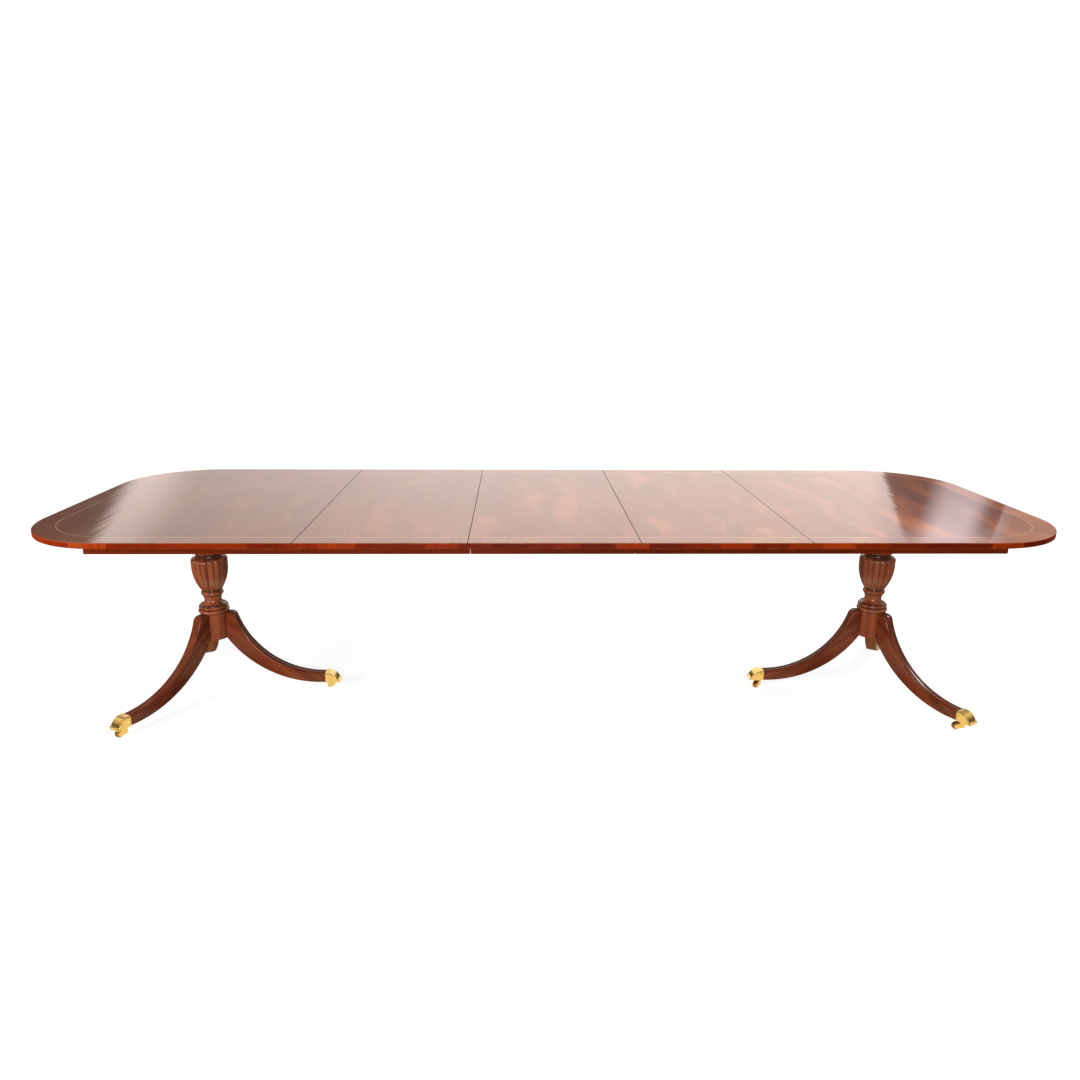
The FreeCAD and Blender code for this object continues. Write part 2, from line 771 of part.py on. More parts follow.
def make_leg(label, base, turn):
    """A sabre leg along its own +X: two arcs, a round shoulder, a dovetail and a tenon for the toe cap."""
    body = list_part(new_body(label, base, turn))
    sketch = new_sketch(body, "XZ_Plane")
    draw_leg_side(sketch)
    pad(body, sketch, D.leg_width, both_ways=True)
    round_edges(body, D.leg_edge_rounding, lambda edge: hasattr(edge.Curve, "Radius")
                and near(edge.Curve.Radius, leg_arc_radius))
    cut_reed_lines(body)
    neck, tip = D.dovetail_neck / 2, D.dovetail_tip / 2
    root = leg_seat - D.dovetail_length
    dovetail = new_sketch(body, "XY_Plane", drum_top)
    draw_loop(dovetail, [(leg_seat, -neck), (leg_seat, neck), (root, tip), (root, -tip)])
    pad(body, dovetail, drum_top - leg_root, downward=True)
    tenon = new_sketch(body, "YZ_Plane", D.leg_reach)
    half = toe_tenon_width / 2
    draw_loop(tenon, box_loop(-half, toe_tenon_bottom, half, toe_tenon_bottom + toe_tenon_height))
    pad(body, tenon, D.toe_tenon_length)
    hole = new_sketch(body, "XZ_Plane")
    cap_screw_hole(hole)
    cut(body, hole, toe_tenon_width, both_ways=True)


def draw_leg_side(sketch):
    """The side view of a leg, from its seat on the drum to the shoulder where the toe cap starts."""
    share = leg_arc_radius / (leg_arc_radius + D.leg_shoulder_radius)
    leg_sole_x = D.leg_reach - D.leg_sole_run
    meet_x = leg_arc_x - leg_arc_run * share
    meet_z = leg_arc_z - (leg_arc_z - shoulder_z) * share
    draw_loop(sketch, [
        (leg_seat, leg_root, Bend(1, centre_x=leg_sole_x)),
        (leg_sole_x, leg_sole),
        (D.leg_reach, leg_sole),
        (D.leg_reach, leg_toe_top),
        (leg_arc_x, leg_toe_top, Bend(-1, centre_x=leg_arc_x)),
        (meet_x, meet_z, Bend(1, centre_x=D.leg_shoulder_reach)),
        (D.leg_shoulder_reach, drum_top),
        (leg_seat, drum_top),
    ])


def cut_reed_lines(body):
    """Cut two fine grooves along the top of a leg, turned about the centre of its upper arc."""
    before = body.Shape.Volume
    sketch = new_sketch(body, "YZ_Plane", leg_arc_x)
    for side in (-1, 1):
        middle = (D.leg_width / 2 - D.reed_line_inset) * side
        draw_loop(sketch, [
            (middle - D.reed_line_half_width, leg_toe_top),
            (middle, leg_toe_top - D.reed_line_depth),
            (middle + D.reed_line_half_width, leg_toe_top),
        ])
    ends = [Vector(x.value, leg_arc_z.value, 0) for x in (-D.leg_width, D.leg_width)]
    axis = sketch.addGeometry(Part.LineSegment(*ends), True)
    sketch.addConstraint(Sketcher.Constraint("Horizontal", axis))
    for end, x in ((1, -D.leg_width), (2, D.leg_width)):
        bind(sketch, "DistanceX", -1, 1, axis, end, x)
    bind(sketch, "DistanceY", -1, 1, axis, 1, leg_arc_z)
    groove = body.newObject("PartDesign::Groove", f"{body.Name}_reed_lines")
    groove.Profile = sketch
    groove.ReferenceAxis = (sketch, ["Axis0"])
    groove.Angle = FULL_TURN
    doc.recompute()
    if body.Shape.Volume >= before:
        raise RuntimeError("the reed lines met no material")


def cap_screw_hole(sketch):
    """The hole that a toe cap's screws go through, seen from the side."""
    radius = D.cap_screw_radius + D.screw_clearance
    draw_circle(sketch, cap_screw_x, cap_screw_z, radius)


def make_toe_cap(label, base, turn):
    """A cast toe cap: a quarter-round hood with lined sides, a lip, a tenon socket and a kingpin bore."""
    body = list_part(new_body(label, base, turn))
    hood_x = D.leg_reach + D.cap_flat
    cap_top = leg_toe_top + D.cap_crown
    lip_x = cap_tip - D.cap_lip_depth
    lip_top = cap_sole + D.cap_lip_height
    sketch = new_sketch(body, "XZ_Plane")
    draw_loop(sketch, [
        (D.leg_reach, cap_sole),
        (cap_tip, cap_sole),
        (cap_tip, lip_top),
        (lip_x, lip_top, Bend(1, centre_x=hood_x)),
        (hood_x, cap_top),
        (D.leg_reach, cap_top),
    ])
    pad(body, sketch, cap_width, both_ways=True)
    round_edges(body, D.cap_rounding, lambda edge: near(abs(edge.CenterOfMass.y), cap_width / 2)
                and near(edge.BoundBox.ZMax, cap_top) and not near(edge.BoundBox.XMax, D.leg_reach))
    line_high = cap_top - D.cap_line_inset
    line_low = line_high - D.cap_line_width
    line_end = lip_x - D.cap_line_inset
    for side in (-1, 1):
        line = new_sketch(body, "XZ_Plane", (cap_width / 2 - D.cap_line_depth) * side)
        draw_loop(line, [
            (D.leg_reach, line_low),
            (hood_x, line_low, Bend(-1, centre_x=hood_x)),
            (line_end - D.cap_line_width, lip_top),
            (line_end, lip_top, Bend(1, centre_x=hood_x)),
            (hood_x, line_high),
            (D.leg_reach, line_high),
        ])
        cut(body, line, D.cap_line_depth, along_normal=side > 0)
    clear = D.tenon_clearance
    half = toe_tenon_width / 2 + clear
    low = toe_tenon_bottom - clear
    socket = new_sketch(body, "YZ_Plane", D.leg_reach)
    draw_loop(socket, box_loop(-half, low, half, low + toe_tenon_height + clear * 2))
    cut(body, socket, D.toe_tenon_length + clear, along_normal=True)
    bore = new_sketch(body, "XY_Plane", cap_sole)
    draw_circle(bore, kingpin_reach, 0, D.kingpin_radius + D.running_clearance)
    cut(body, bore, D.kingpin_length - D.fork_gap + D.kingpin_end_gap, along_normal=True)
    hole = new_sketch(body, "XZ_Plane")
    cap_screw_hole(hole)
    cut(body, hole, cap_width, both_ways=True)


def make_fork(label, base, turn):
    """A caster fork with its kingpin, trailing along its own +X, and the axle riveted through it."""
    body = new_body(f"{label}_frame", base, turn)
    slot = D.wheel_width / 2 + D.wheel_side_gap
    heel = fork_top - D.fork_heel_height
    eye_low = D.wheel_radius - D.fork_eye_radius
    eye_high = D.wheel_radius + D.fork_eye_radius
    sketch = new_sketch(body, "XZ_Plane")
    draw_loop(sketch, [
        (-D.fork_back, heel),
        (D.fork_back, heel),
        (D.caster_trail, eye_low, Bend(1, centre_x=D.caster_trail)),
        (D.caster_trail, eye_high),
        (D.fork_bridge, fork_top),
        (-D.fork_back, fork_top),
    ])
    pad(body, sketch, (slot + D.fork_cheek) * 2, both_ways=True)
    round_edges(body, D.fork_back_rounding, lambda edge: near(edge.BoundBox.XMax, -D.fork_back)
                and not near(edge.BoundBox.ZMin, edge.BoundBox.ZMax))
    opening = new_sketch(body, "XY_Plane")
    draw_loop(opening, box_loop(D.fork_bridge, -slot, D.caster_trail + D.wheel_radius, slot))
    cut(body, opening, fork_top, along_normal=True)
    pin = new_sketch(body, "XY_Plane", fork_top)
    draw_circle(pin, 0, 0, D.kingpin_radius)
    pad(body, pin, D.kingpin_length)
    hole = new_sketch(body, "XZ_Plane")
    draw_circle(hole, D.caster_trail, D.wheel_radius, D.axle_radius)
    cut(body, hole, (slot + D.fork_cheek) * 2, both_ways=True)
    axle = new_body(f"{label}_axle", base, turn)
    rod = new_sketch(axle, "XZ_Plane")
    draw_circle(rod, D.caster_trail, D.wheel_radius, D.axle_radius)
    pad(axle, rod, (slot + D.fork_cheek + D.axle_proud) * 2, both_ways=True)
    group(label, [body, axle])


def make_wheel(label, base, turn):
    """A caster wheel that turns on its own Y axis, with a round-edged tread and a bore."""
    body = list_part(new_body(label, base, turn))
    half = D.wheel_width / 2
    bore = D.axle_radius + D.running_clearance
    soft = D.wheel_rounding
    sketch = new_sketch(body, "YZ_Plane")
    draw_loop(sketch, [
        (-half, bore),
        (half, bore),
        (half, D.wheel_radius - soft, Bend(1, centre_x=half - soft)),
        (half - soft, D.wheel_radius),
        (soft - half, D.wheel_radius, Bend(1, centre_x=soft - half)),
        (-half, D.wheel_radius - soft),
    ])
    revolve(body, sketch, "H_Axis")


def make_legs(side, turn):
    """The three legs of a pedestal, each with its toe cap and caster."""
    base_x, base_y = turned(pedestal_x, 0, turn)
    for angle in LEG_ANGLES:
        leg_turn = (angle + turn) % FULL_TURN
        along, across = math.cos(math.radians(leg_turn)), math.sin(math.radians(leg_turn))
        where = "inner" if angle == HALF_TURN else "front" if across < 0 else "back"
        name = f"{side}_{where}"
        make_leg(f"{name}_leg", (base_x, base_y, 0), leg_turn)
        make_toe_cap(f"{name}_toe_cap", (base_x, base_y, 0), leg_turn)
        pin = (base_x + kingpin_reach * along, base_y + kingpin_reach * across)
        trail = TRAIL_ANGLES[name]
        make_fork(f"{name}_caster_fork", (*pin, 0), trail)
        hub_x = pin[0] + D.caster_trail * math.cos(math.radians(trail))
        hub_y = pin[1] + D.caster_trail * math.sin(math.radians(trail))
        make_wheel(f"{name}_caster_wheel", (hub_x, hub_y, D.wheel_radius), trail)


def tongue_loop(face, depth, clear, outward):
    """Half of a slide's side: a dovetail tongue or groove on one face, from bottom to top."""
    middle = -D.slide_height / 2
    neck = D.tongue_neck / 2 + clear
    tip = D.tongue_tip / 2 + clear
    deep = face + depth * outward
    return [(face, middle - neck), (deep, middle - tip), (deep, middle + tip), (face, middle + neck)]


def make_end_slide(label, base, turn):
    """A slide rail fixed under an end top: a tongue on one side, and its top relieved under the leaves."""
    body = list_part(new_body(label, base, turn))
    half = D.slide_thickness / 2
    sketch = new_sketch(body, "YZ_Plane")
    tongue = tongue_loop(-half, D.tongue_length, as_size(0), -1)
    draw_loop(sketch, [(half, 0), (-half, 0), *reversed(tongue), (-half, -D.slide_height), (half, -D.slide_height)])
    pad(body, sketch, D.slide_length)
    relief = new_sketch(body, "XY_Plane")
    relieved = seam_x + D.slide_land_gap - slide_end + D.slide_length
    draw_loop(relief, box_loop(0, -half, relieved, half))
    cut(body, relief, D.slide_relief)
    screw_stops(body, [x - slide_end + D.slide_length for x in slide_screws_x], [as_size(0)], D.slide_height)


def make_centre_slide(label, y):
    """A centre rail with a groove on each side for the rails of the two halves."""
    body = list_part(new_body(label, (-D.slide_length / 2, y, underside)))
    half = D.slide_thickness / 2
    left = tongue_loop(-half, D.tongue_length, D.tongue_clearance / 2, 1)
    right = tongue_loop(half, D.tongue_length, D.tongue_clearance / 2, -1)
    sketch = new_sketch(body, "YZ_Plane")
    draw_loop(sketch, [
        (-half, -D.slide_height),
        (half, -D.slide_height),
        *right,
        (half, -D.slide_relief),
        (-half, -D.slide_relief),
        *reversed(left),
    ])
    pad(body, sketch, D.slide_length)


def make_end_slides(side, turn):
    """The front and back slide rails of one half."""
    start_x = slide_end - D.slide_length
    for rail_y in slide_rail_places():
        x, y = turned(start_x, rail_y, turn)
        name = "front" if as_size(y).value < 0 else "back"
        make_end_slide(f"{side}_{name}_slide", (x, y, underside), turn)


def make_screw(label, head_radius, head_height, radius, length):
    """One screw along +Z, with the face of its head that bears on the work at z = 0."""
    body = new_body(label)
    sketch = new_sketch(body, "XZ_Plane")
    draw_loop(sketch, [
        (0, -head_height),
        (head_radius, -head_height),
        (head_radius, 0),
        (radius, 0),
        (radius, length - radius),
        (0, length),
    ])
    revolve(body, sketch, "V_Axis")
    return body


def make_screws(side, turn, wood_screw, cap_screw):
    """The two groups of screws on one half: wood screws from below, and the toe caps' screws."""
    spin = Rotation(Vector(0, 0, 1), turn)
    upward = Rotation()
    seat = (underside + D.screw_bite - screw_shank).value
    plate_seat = (drum_bottom - D.plate_thickness).value
    places = [(spin.multVec(Vector(x.value, y.value, seat)), upward) for x, y in top_screws()]
    for x, y in plate_screws():
        places.append((spin.multVec(Vector((pedestal_x + x).value, y.value, plate_seat)), upward))
    copies(f"{side}_wood_screws", wood_screw, places)
    axis = Vector(pedestal_x.value, 0, 0)
    local = Vector(cap_screw_x.value, cap_width.value / 2, cap_screw_z.value)
    places = []
    for angle in LEG_ANGLES:
        for face in (-1, 1):
            about = Rotation(Vector(0, 0, 1), angle)
            spot = axis + about.multVec(Vector(local.x, local.y * face, local.z))
            inward = Rotation(Vector(0, 0, 1), about.multVec(Vector(0, -face, 0)))
            places.append((spin.multVec(spot), spin.multiply(inward)))
    copies(f"{side}_cap_screws", cap_screw, places)


def make_leaves():
    """The three leaves, each a panel with a front and a back apron rail."""
    rail_length = D.leaf_length - D.apron_seam_gap * 2
    middle_y = apron_face_y - D.apron_thickness / 2
    for step, name in ((-1, "left"), (0, "middle"), (1, "right")):
        middle_x = D.leaf_length * step
        make_leaf(f"{name}_leaf", middle_x)
        for y, where in ((-middle_y, "front"), (middle_y, "back")):
            make_rail(f"{name}_leaf_{where}_apron", rail_length, (middle_x - rail_length / 2, y, underside), 0.0)


def make_half(side, turn):
    """One half of the table: end top, aprons, pedestal, casters and slide rails."""
    make_end_top(f"{side}_end_top", turn)
    make_end_aprons(side, turn)
    make_bearer_block(f"{side}_bearer_block", turn)
    make_column(side, turn)
    make_hub_plate(f"{side}_hub_plate", turn)
    make_legs(side, turn)
    make_end_slides(side, turn)


def check_document():
    """Stop if any object failed, or any piece has no sound solid."""
    doc.recompute()
    for item in doc.Objects:
        if "Invalid" in item.State or "Error" in item.State:
            raise RuntimeError(f"{item.Label} failed: {item.State}")
    for item in parts:
        if item.Shape.isNull() or not item.Shape.isValid() or not item.Shape.Solids:
            raise RuntimeError(f"{item.Label} has no sound solid")


def write_parts():
    """Write each piece to a file named after it."""
    os.makedirs("parts", exist_ok=True)
    for item in parts:
        item.Shape.exportStep(f"parts/{item.Label}.step")
        print(item.Label, len(item.Shape.Solids), round(item.Shape.Volume))


make_leaves()
for half, half_angle in (("right", 0.0), ("left", HALF_TURN)):
    make_half(half, half_angle)
for slide_name, slide_sign in (("front", -1), ("back", 1)):
    make_centre_slide(f"centre_{slide_name}_slide", D.slide_spacing * slide_sign / 2)
wood_screw_pattern = make_screw("wood_screw", D.screw_head_radius, D.screw_head_height, D.screw_radius, screw_shank)
cap_screw_pattern = make_screw("cap_screw", D.cap_screw_head_radius, D.cap_screw_head_height,
                               D.cap_screw_radius, D.cap_screw_length)
for half, half_angle in (("right", 0.0), ("left", HALF_TURN)):
    make_screws(half, half_angle, wood_screw_pattern, cap_screw_pattern)
check_document()
write_parts()
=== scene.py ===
import json
import logging
import math
from dataclasses import dataclass
from enum import Enum

import bmesh
import bpy
from mathutils import Matrix, Vector

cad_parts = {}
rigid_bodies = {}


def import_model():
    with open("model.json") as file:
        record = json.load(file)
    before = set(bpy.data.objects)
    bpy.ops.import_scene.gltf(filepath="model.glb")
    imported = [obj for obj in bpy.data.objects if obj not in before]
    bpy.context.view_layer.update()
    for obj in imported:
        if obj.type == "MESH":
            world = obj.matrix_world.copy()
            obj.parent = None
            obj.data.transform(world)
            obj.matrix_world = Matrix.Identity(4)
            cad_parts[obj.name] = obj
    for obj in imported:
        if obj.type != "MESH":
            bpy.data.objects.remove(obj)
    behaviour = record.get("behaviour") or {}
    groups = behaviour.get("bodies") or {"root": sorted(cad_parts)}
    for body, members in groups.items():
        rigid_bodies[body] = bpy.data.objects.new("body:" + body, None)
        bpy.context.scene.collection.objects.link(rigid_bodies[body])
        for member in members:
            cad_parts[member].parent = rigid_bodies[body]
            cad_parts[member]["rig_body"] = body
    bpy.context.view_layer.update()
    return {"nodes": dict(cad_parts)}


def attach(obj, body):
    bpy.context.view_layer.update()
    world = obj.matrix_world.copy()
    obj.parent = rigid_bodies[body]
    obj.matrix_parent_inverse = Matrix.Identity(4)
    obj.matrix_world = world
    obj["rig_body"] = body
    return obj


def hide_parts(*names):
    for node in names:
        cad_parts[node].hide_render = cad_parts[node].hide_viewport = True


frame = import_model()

# Looks of a double pedestal dining table: polished mahogany, brass toe caps and casters, and its studio.
# Metres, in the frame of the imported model: +X along the table, +Y to the back, +Z up.

LOG = logging.getLogger("dining_table")
SMOOTH_ANGLE = math.radians(34.0)
MERGE_REACH = 2e-6
LEAF_LENGTH = 0.514
LEAVES = ("left", "middle", "right")
COLUMN_REACH = 1.235

Material = bpy.types.Material
Node = bpy.types.Node
Socket = bpy.types.NodeSocket
Pair = tuple[float, float]
Spot = tuple[float, float, float]
Colour = tuple[float, float, float]
Stops = tuple[tuple[float, Colour], ...]
# Where a smooth step starts and ends, and its result before and after.
Step = tuple[float, float, float, float]


class Named(Enum):
    """A choice whose members the nodes' names hold in small letters."""

    @property
    def word(self) -> str:
        """The member's name as the nodes use it."""
        return self.name.lower()


class Side(Named):
    """The two halves of the table, with the sign of their X."""

    LEFT = -1
    RIGHT = 1


class Leg(Named):
    """The three legs of a pedestal, with their angle in degrees about the right column, from +X."""

    FRONT = 300.0
    INNER = 180.0
    BACK = 60.0

    def angle(self, side: Side) -> float:
        """Give the leg's angle on one half, from +X and in radians."""
        return math.radians(self.value if side is Side.RIGHT else (180.0 - self.value) % 360.0)


class Grain(Enum):
    """The axis that straight grain runs along."""

    ALONG = (1.0, 30.0, 30.0)
    ACROSS = (30.0, 1.0, 30.0)
    UPRIGHT = (30.0, 30.0, 1.0)


class TopPart(Enum):
    """The parts of a top panel, with the place of their finish among its materials."""

    FACE = 0
    EDGE = 1
    UNDERSIDE = 2
    JOINT = 3


class Light(Enum):
    """What a lamp is for: to light the table softly, or only to be mirrored in its polish."""

    SOFT = "soft"
    MIRRORED = "mirrored"


class NodeBoard:
    """A node tree being wired, with short ways to add the nodes that the finishes share."""

    def __init__(self, tree: bpy.types.NodeTree) -> None:
        """Keep the tree that the nodes go into."""
        self.tree = tree

    @classmethod
    def fresh(cls, owner: Material | bpy.types.World) -> "NodeBoard":
        """Empty the node tree of a material or world and start on it.

        Args:
            owner: The material or world.

        Returns:
            The board.
        """
        owner.use_nodes = True
        owner.node_tree.nodes.clear()
        return cls(owner.node_tree)

    def add(self, kind: str, feeds: dict | None = None, **settings: object) -> Node:
        """Add a node.

        Args:
            kind: The node's type name.
            feeds: What its inputs get, by name or index.
            settings: Properties to set on it.

        Returns:
            The new node.
        """
        node = self.tree.nodes.new(kind)
        for name, value in settings.items():
            setattr(node, name, value)
        self.wire(node, feeds or {})
        return node

    def wire(self, node: Node, feeds: dict) -> None:
        """Link a node's inputs to other sockets, or set their own values.

        Args:
            node: The node.
            feeds: Sockets or values, by the input's name or index.
        """
        for key, value in feeds.items():
            if isinstance(value, bpy.types.NodeSocket):
                self.tree.links.new(value, node.inputs[key])
            else:
                node.inputs[key].default_value = value

    def surface(self, shader: Node, output: str = "ShaderNodeOutputMaterial") -> None:
        """Wire a shader to the tree's output."""
        self.add(output, {"Surface": shader.outputs[0]})

    def either(self, share: Socket, first: Node, second: Node) -> Node:
        """Mix two shaders by a share of the second one."""
        return self.add("ShaderNodeMixShader", {0: share, 1: first.outputs[0], 2: second.outputs[0]})

    def math(self, operation: str, first: object, second: object = 0.0) -> Socket:
        """Add a math node and give its result."""
        return self.add("ShaderNodeMath", {0: first, 1: second}, operation=operation).outputs[0]

    def plus(self, first: object, second: object) -> Socket:
        """Add two numbers or sockets."""
        return self.math("ADD", first, second)

    def minus(self, first: object, second: object) -> Socket:
        """Take the second number or socket from the first."""
        return self.math("SUBTRACT", first, second)

    def times(self, first: object, second: object) -> Socket:
        """Multiply two numbers or sockets."""
        return self.math("MULTIPLY", first, second)

    def step(self, value: object, low: float, high: float, start: float = 0.0, end: float = 1.0) -> Socket:
        """Add a smooth step from one result, where it starts, to another, where it ends."""
        feeds = {"Value": value, "From Min": low, "From Max": high, "To Min": start, "To Max": end}
        return self.add("ShaderNodeMapRange", feeds, interpolation_type="SMOOTHSTEP").outputs["Result"]

    def split(self, vector: Socket) -> tuple[Socket, Socket, Socket]:
        """Separate a vector into its three parts."""
        return tuple(self.add("ShaderNodeSeparateXYZ", {0: vector}).outputs)

    def join(self, x: object, y: object, z: object) -> Socket:
        """Combine three numbers or sockets into a vector."""
        return self.add("ShaderNodeCombineXYZ", {0: x, 1: y, 2: z}).outputs[0]

    def stretched(self, x: Socket, y: Socket, fineness: Pair, z: object = 0.0) -> Socket:
        """Combine two places, each with a stretch of its own, and a third number."""
        return self.join(self.times(x, fineness[0]), self.times(y, fineness[1]), z)

    def place(self) -> Socket:
        """Give the piece's own coordinates, in metres."""
        return self.add("ShaderNodeTexCoord").outputs["Object"]

    def mapped(self, scale: Spot, location: Spot = (0, 0, 0), rotation: Spot = (0, 0, 0)) -> Socket:
        """Give the piece's coordinates in a moved and turned frame.

        Args:
            scale: How far each axis is stretched.
            location: The frame's origin.
            rotation: The frame's Euler angles.

        Returns:
            The vector's socket.
        """
        feeds = {"Vector": self.place(), "Location": location, "Rotation": rotation}
        turned = self.add("ShaderNodeMapping", feeds, vector_type="TEXTURE").outputs[0]
        return self.add("ShaderNodeMapping", {"Vector": turned, "Scale": scale}, vector_type="POINT").outputs[0]

    def noise(self, vector: Socket, scale: float = 1.0, detail: float = 2.0, seed: object = 0.0,
              output: int | str = 0) -> Socket:
        """Add a noise texture.

        Args:
            vector: Where it is read.
            scale: How fine it is.
            detail: How many finer layers it has.
            seed: Its fourth coordinate.
            output: Which of its outputs is wanted.

        Returns:
            The output.
        """
        feeds = {"Vector": vector, "Scale": scale, "Detail": detail, "W": seed}
        return self.add("ShaderNodeTexNoise", feeds, noise_dimensions="4D").outputs[output]

    def chance(self, number: Socket) -> Socket:
        """Give a random share that stays the same for the same number."""
        return self.add("ShaderNodeTexWhiteNoise", {"W": number}, noise_dimensions="1D").outputs["Value"]

    def ramp(self, share: Socket, stops: Stops) -> Socket:
        """Turn a share into a colour.

        Args:
            share: The share that is read.
            stops: Places from 0 to 1 with their colours.

        Returns:
            The colour's socket.
        """
        node = self.add("ShaderNodeValToRGB", {0: share})
        elements = node.color_ramp.elements
        while len(elements) < len(stops):
            elements.new(0.5)
        for element, (spot, colour) in zip(elements, stops):
            element.position = spot
            element.color = (*colour, 1.0)
        return node.outputs[0]

    def mix(self, share: object, first: object, second: object, blend: str = "MIX") -> Socket:
        """Mix two colours.

        Args:
            share: How much of the second one shows.
            first: The first colour or socket.
            second: The second colour or socket.
            blend: How they are combined.

        Returns:
            The colour's socket.
        """
        under, over = ((*colour, 1.0) if isinstance(colour, tuple) else colour for colour in (first, second))
        feeds = {0: share, 6: under, 7: over}
        return self.add("ShaderNodeMix", feeds, data_type="RGBA", blend_type=blend).outputs[2]

    def shade(self, colour: Socket, factor: Socket) -> Socket:
        """Multiply a colour by a number."""
        return self.mix(1.0, colour, self.join(factor, factor, factor), blend="MULTIPLY")

    def bump(self, height: Socket, depth: float, normal: Socket | None = None) -> Socket:
        """Turn a height into a normal.

        Args:
            height: The height as a share of the depth.
            depth: How deep the relief is, in metres.
            normal: The normal that it starts from, where that isn't the surface's own.

        Returns:
            The normal's socket.
        """
        feeds = {"Strength": 1.0, "Distance": depth, "Height": height}
        if normal is not None:
            feeds["Normal"] = normal
        return self.add("ShaderNodeBump", feeds).outputs[0]

    def tilted(self, lean_x: Socket, lean_y: Socket) -> Socket:
        """Lean the surface's own normal a little.

        Args:
            lean_x: How far it leans along X.
            lean_y: How far it leans along Y.

        Returns:
            The normal's socket.
        """
        own = self.add("ShaderNodeNewGeometry").outputs["Normal"]
        leaning = self.add("ShaderNodeVectorMath", {0: own, 1: self.join(lean_x, lean_y, 0.0)}, operation="ADD")
        return self.add("ShaderNodeVectorMath", {0: leaning.outputs[0]}, operation="NORMALIZE").outputs[0]


@dataclass(frozen=True)
class Gloss:
    """The numbers of a polish that are the same all over a piece."""

    roughness: float = 0.35
    specular: float = 0.3
    coat: float = 0.0
    coat_roughness: float = 0.08
    coat_index: float = 1.5
    metal: float = 0.0

    def start(self, name: str) -> tuple[Material, NodeBoard, Node]:
        """Make a material with this gloss.

        Args:
            name: The material's name.

        Returns:
            The material, the board of its nodes and its shader.
        """
        material = bpy.data.materials.new(name)
        board = NodeBoard.fresh(material)
        shader = board.add("ShaderNodeBsdfPrincipled", {
            "Roughness": self.roughness, "Specular IOR Level": self.specular, "Metallic": self.metal,
            "Coat Weight": self.coat, "Coat Roughness": self.coat_roughness, "Coat IOR": self.coat_index})
        board.surface(shader)
        return material, board, shader


@dataclass(frozen=True)
class TopOutline:
    """The outline of the opened top, and the seams between its panels."""

    half_length: float = 1.645
    half_width: float = 0.584
    corner: float = 0.308
    height: float = 0.737
    leaf: float = LEAF_LENGTH
    panels: int = 5
    # In leaf lengths: the seams from the middle, and what keeps the quarters of the edge apart.
    seams: Pair = (0.5, 1.5)
    quarter_shift: Pair = (40.0, 20.0)

    def measure(self, board: NodeBoard, x: Socket, y: Socket) -> tuple[Socket, Socket]:
        """Measure from the outline inwards, and along it.

        Args:
            board: The board that gets the nodes.
            x: The place along the table.
            y: The place across the table.

        Returns:
            How far a place is from the edge, and how far along the edge it is.
        """
        out_x = board.minus(board.math("ABSOLUTE", x), self.half_length - self.corner)
        out_y = board.minus(board.math("ABSOLUTE", y), self.half_width - self.corner)
        past_x, past_y = board.math("MAXIMUM", out_x, 0.0), board.math("MAXIMUM", out_y, 0.0)
        square = board.plus(board.times(past_x, past_x), board.times(past_y, past_y))
        inner = board.math("MINIMUM", board.math("MAXIMUM", out_x, out_y), 0.0)
        inset = board.minus(self.corner, board.plus(board.math("SQRT", square), inner))
        turn = board.minus(math.pi / 2, board.math("ARCTAN2", past_y, past_x))
        straight = board.minus(board.math("MINIMUM", out_x, 0.0), board.math("MINIMUM", out_y, 0.0))
        along = board.plus(straight, board.times(turn, self.corner))
        along = board.plus(along, self.half_length - self.corner)
        aside_x, aside_y = (board.times(board.math("SIGN", place), shift * self.leaf)
                            for place, shift in zip((x, y), self.quarter_shift))
        return inset, board.plus(along, board.plus(aside_x, aside_y))

    def panel(self, board: NodeBoard, x: Socket) -> Socket:
        """Number the panels from left to right, from 0."""
        count = board.math("FLOOR", board.plus(board.math("DIVIDE", x, self.leaf), self.panels / 2))
        return board.math("MINIMUM", board.math("MAXIMUM", count, 0.0), self.panels - 1.0)

    def seam(self, board: NodeBoard, x: Socket) -> Socket:
        """Give how far a place is from the nearest seam.

        Args:
            board: The board that gets the nodes.
            x: The place along the table.

        Returns:
            The distance's socket.
        """
        reach = board.math("ABSOLUTE", x)
        gaps = [board.math("ABSOLUTE", board.minus(reach, self.leaf * share)) for share in self.seams]
        return board.math("MINIMUM", *gaps)


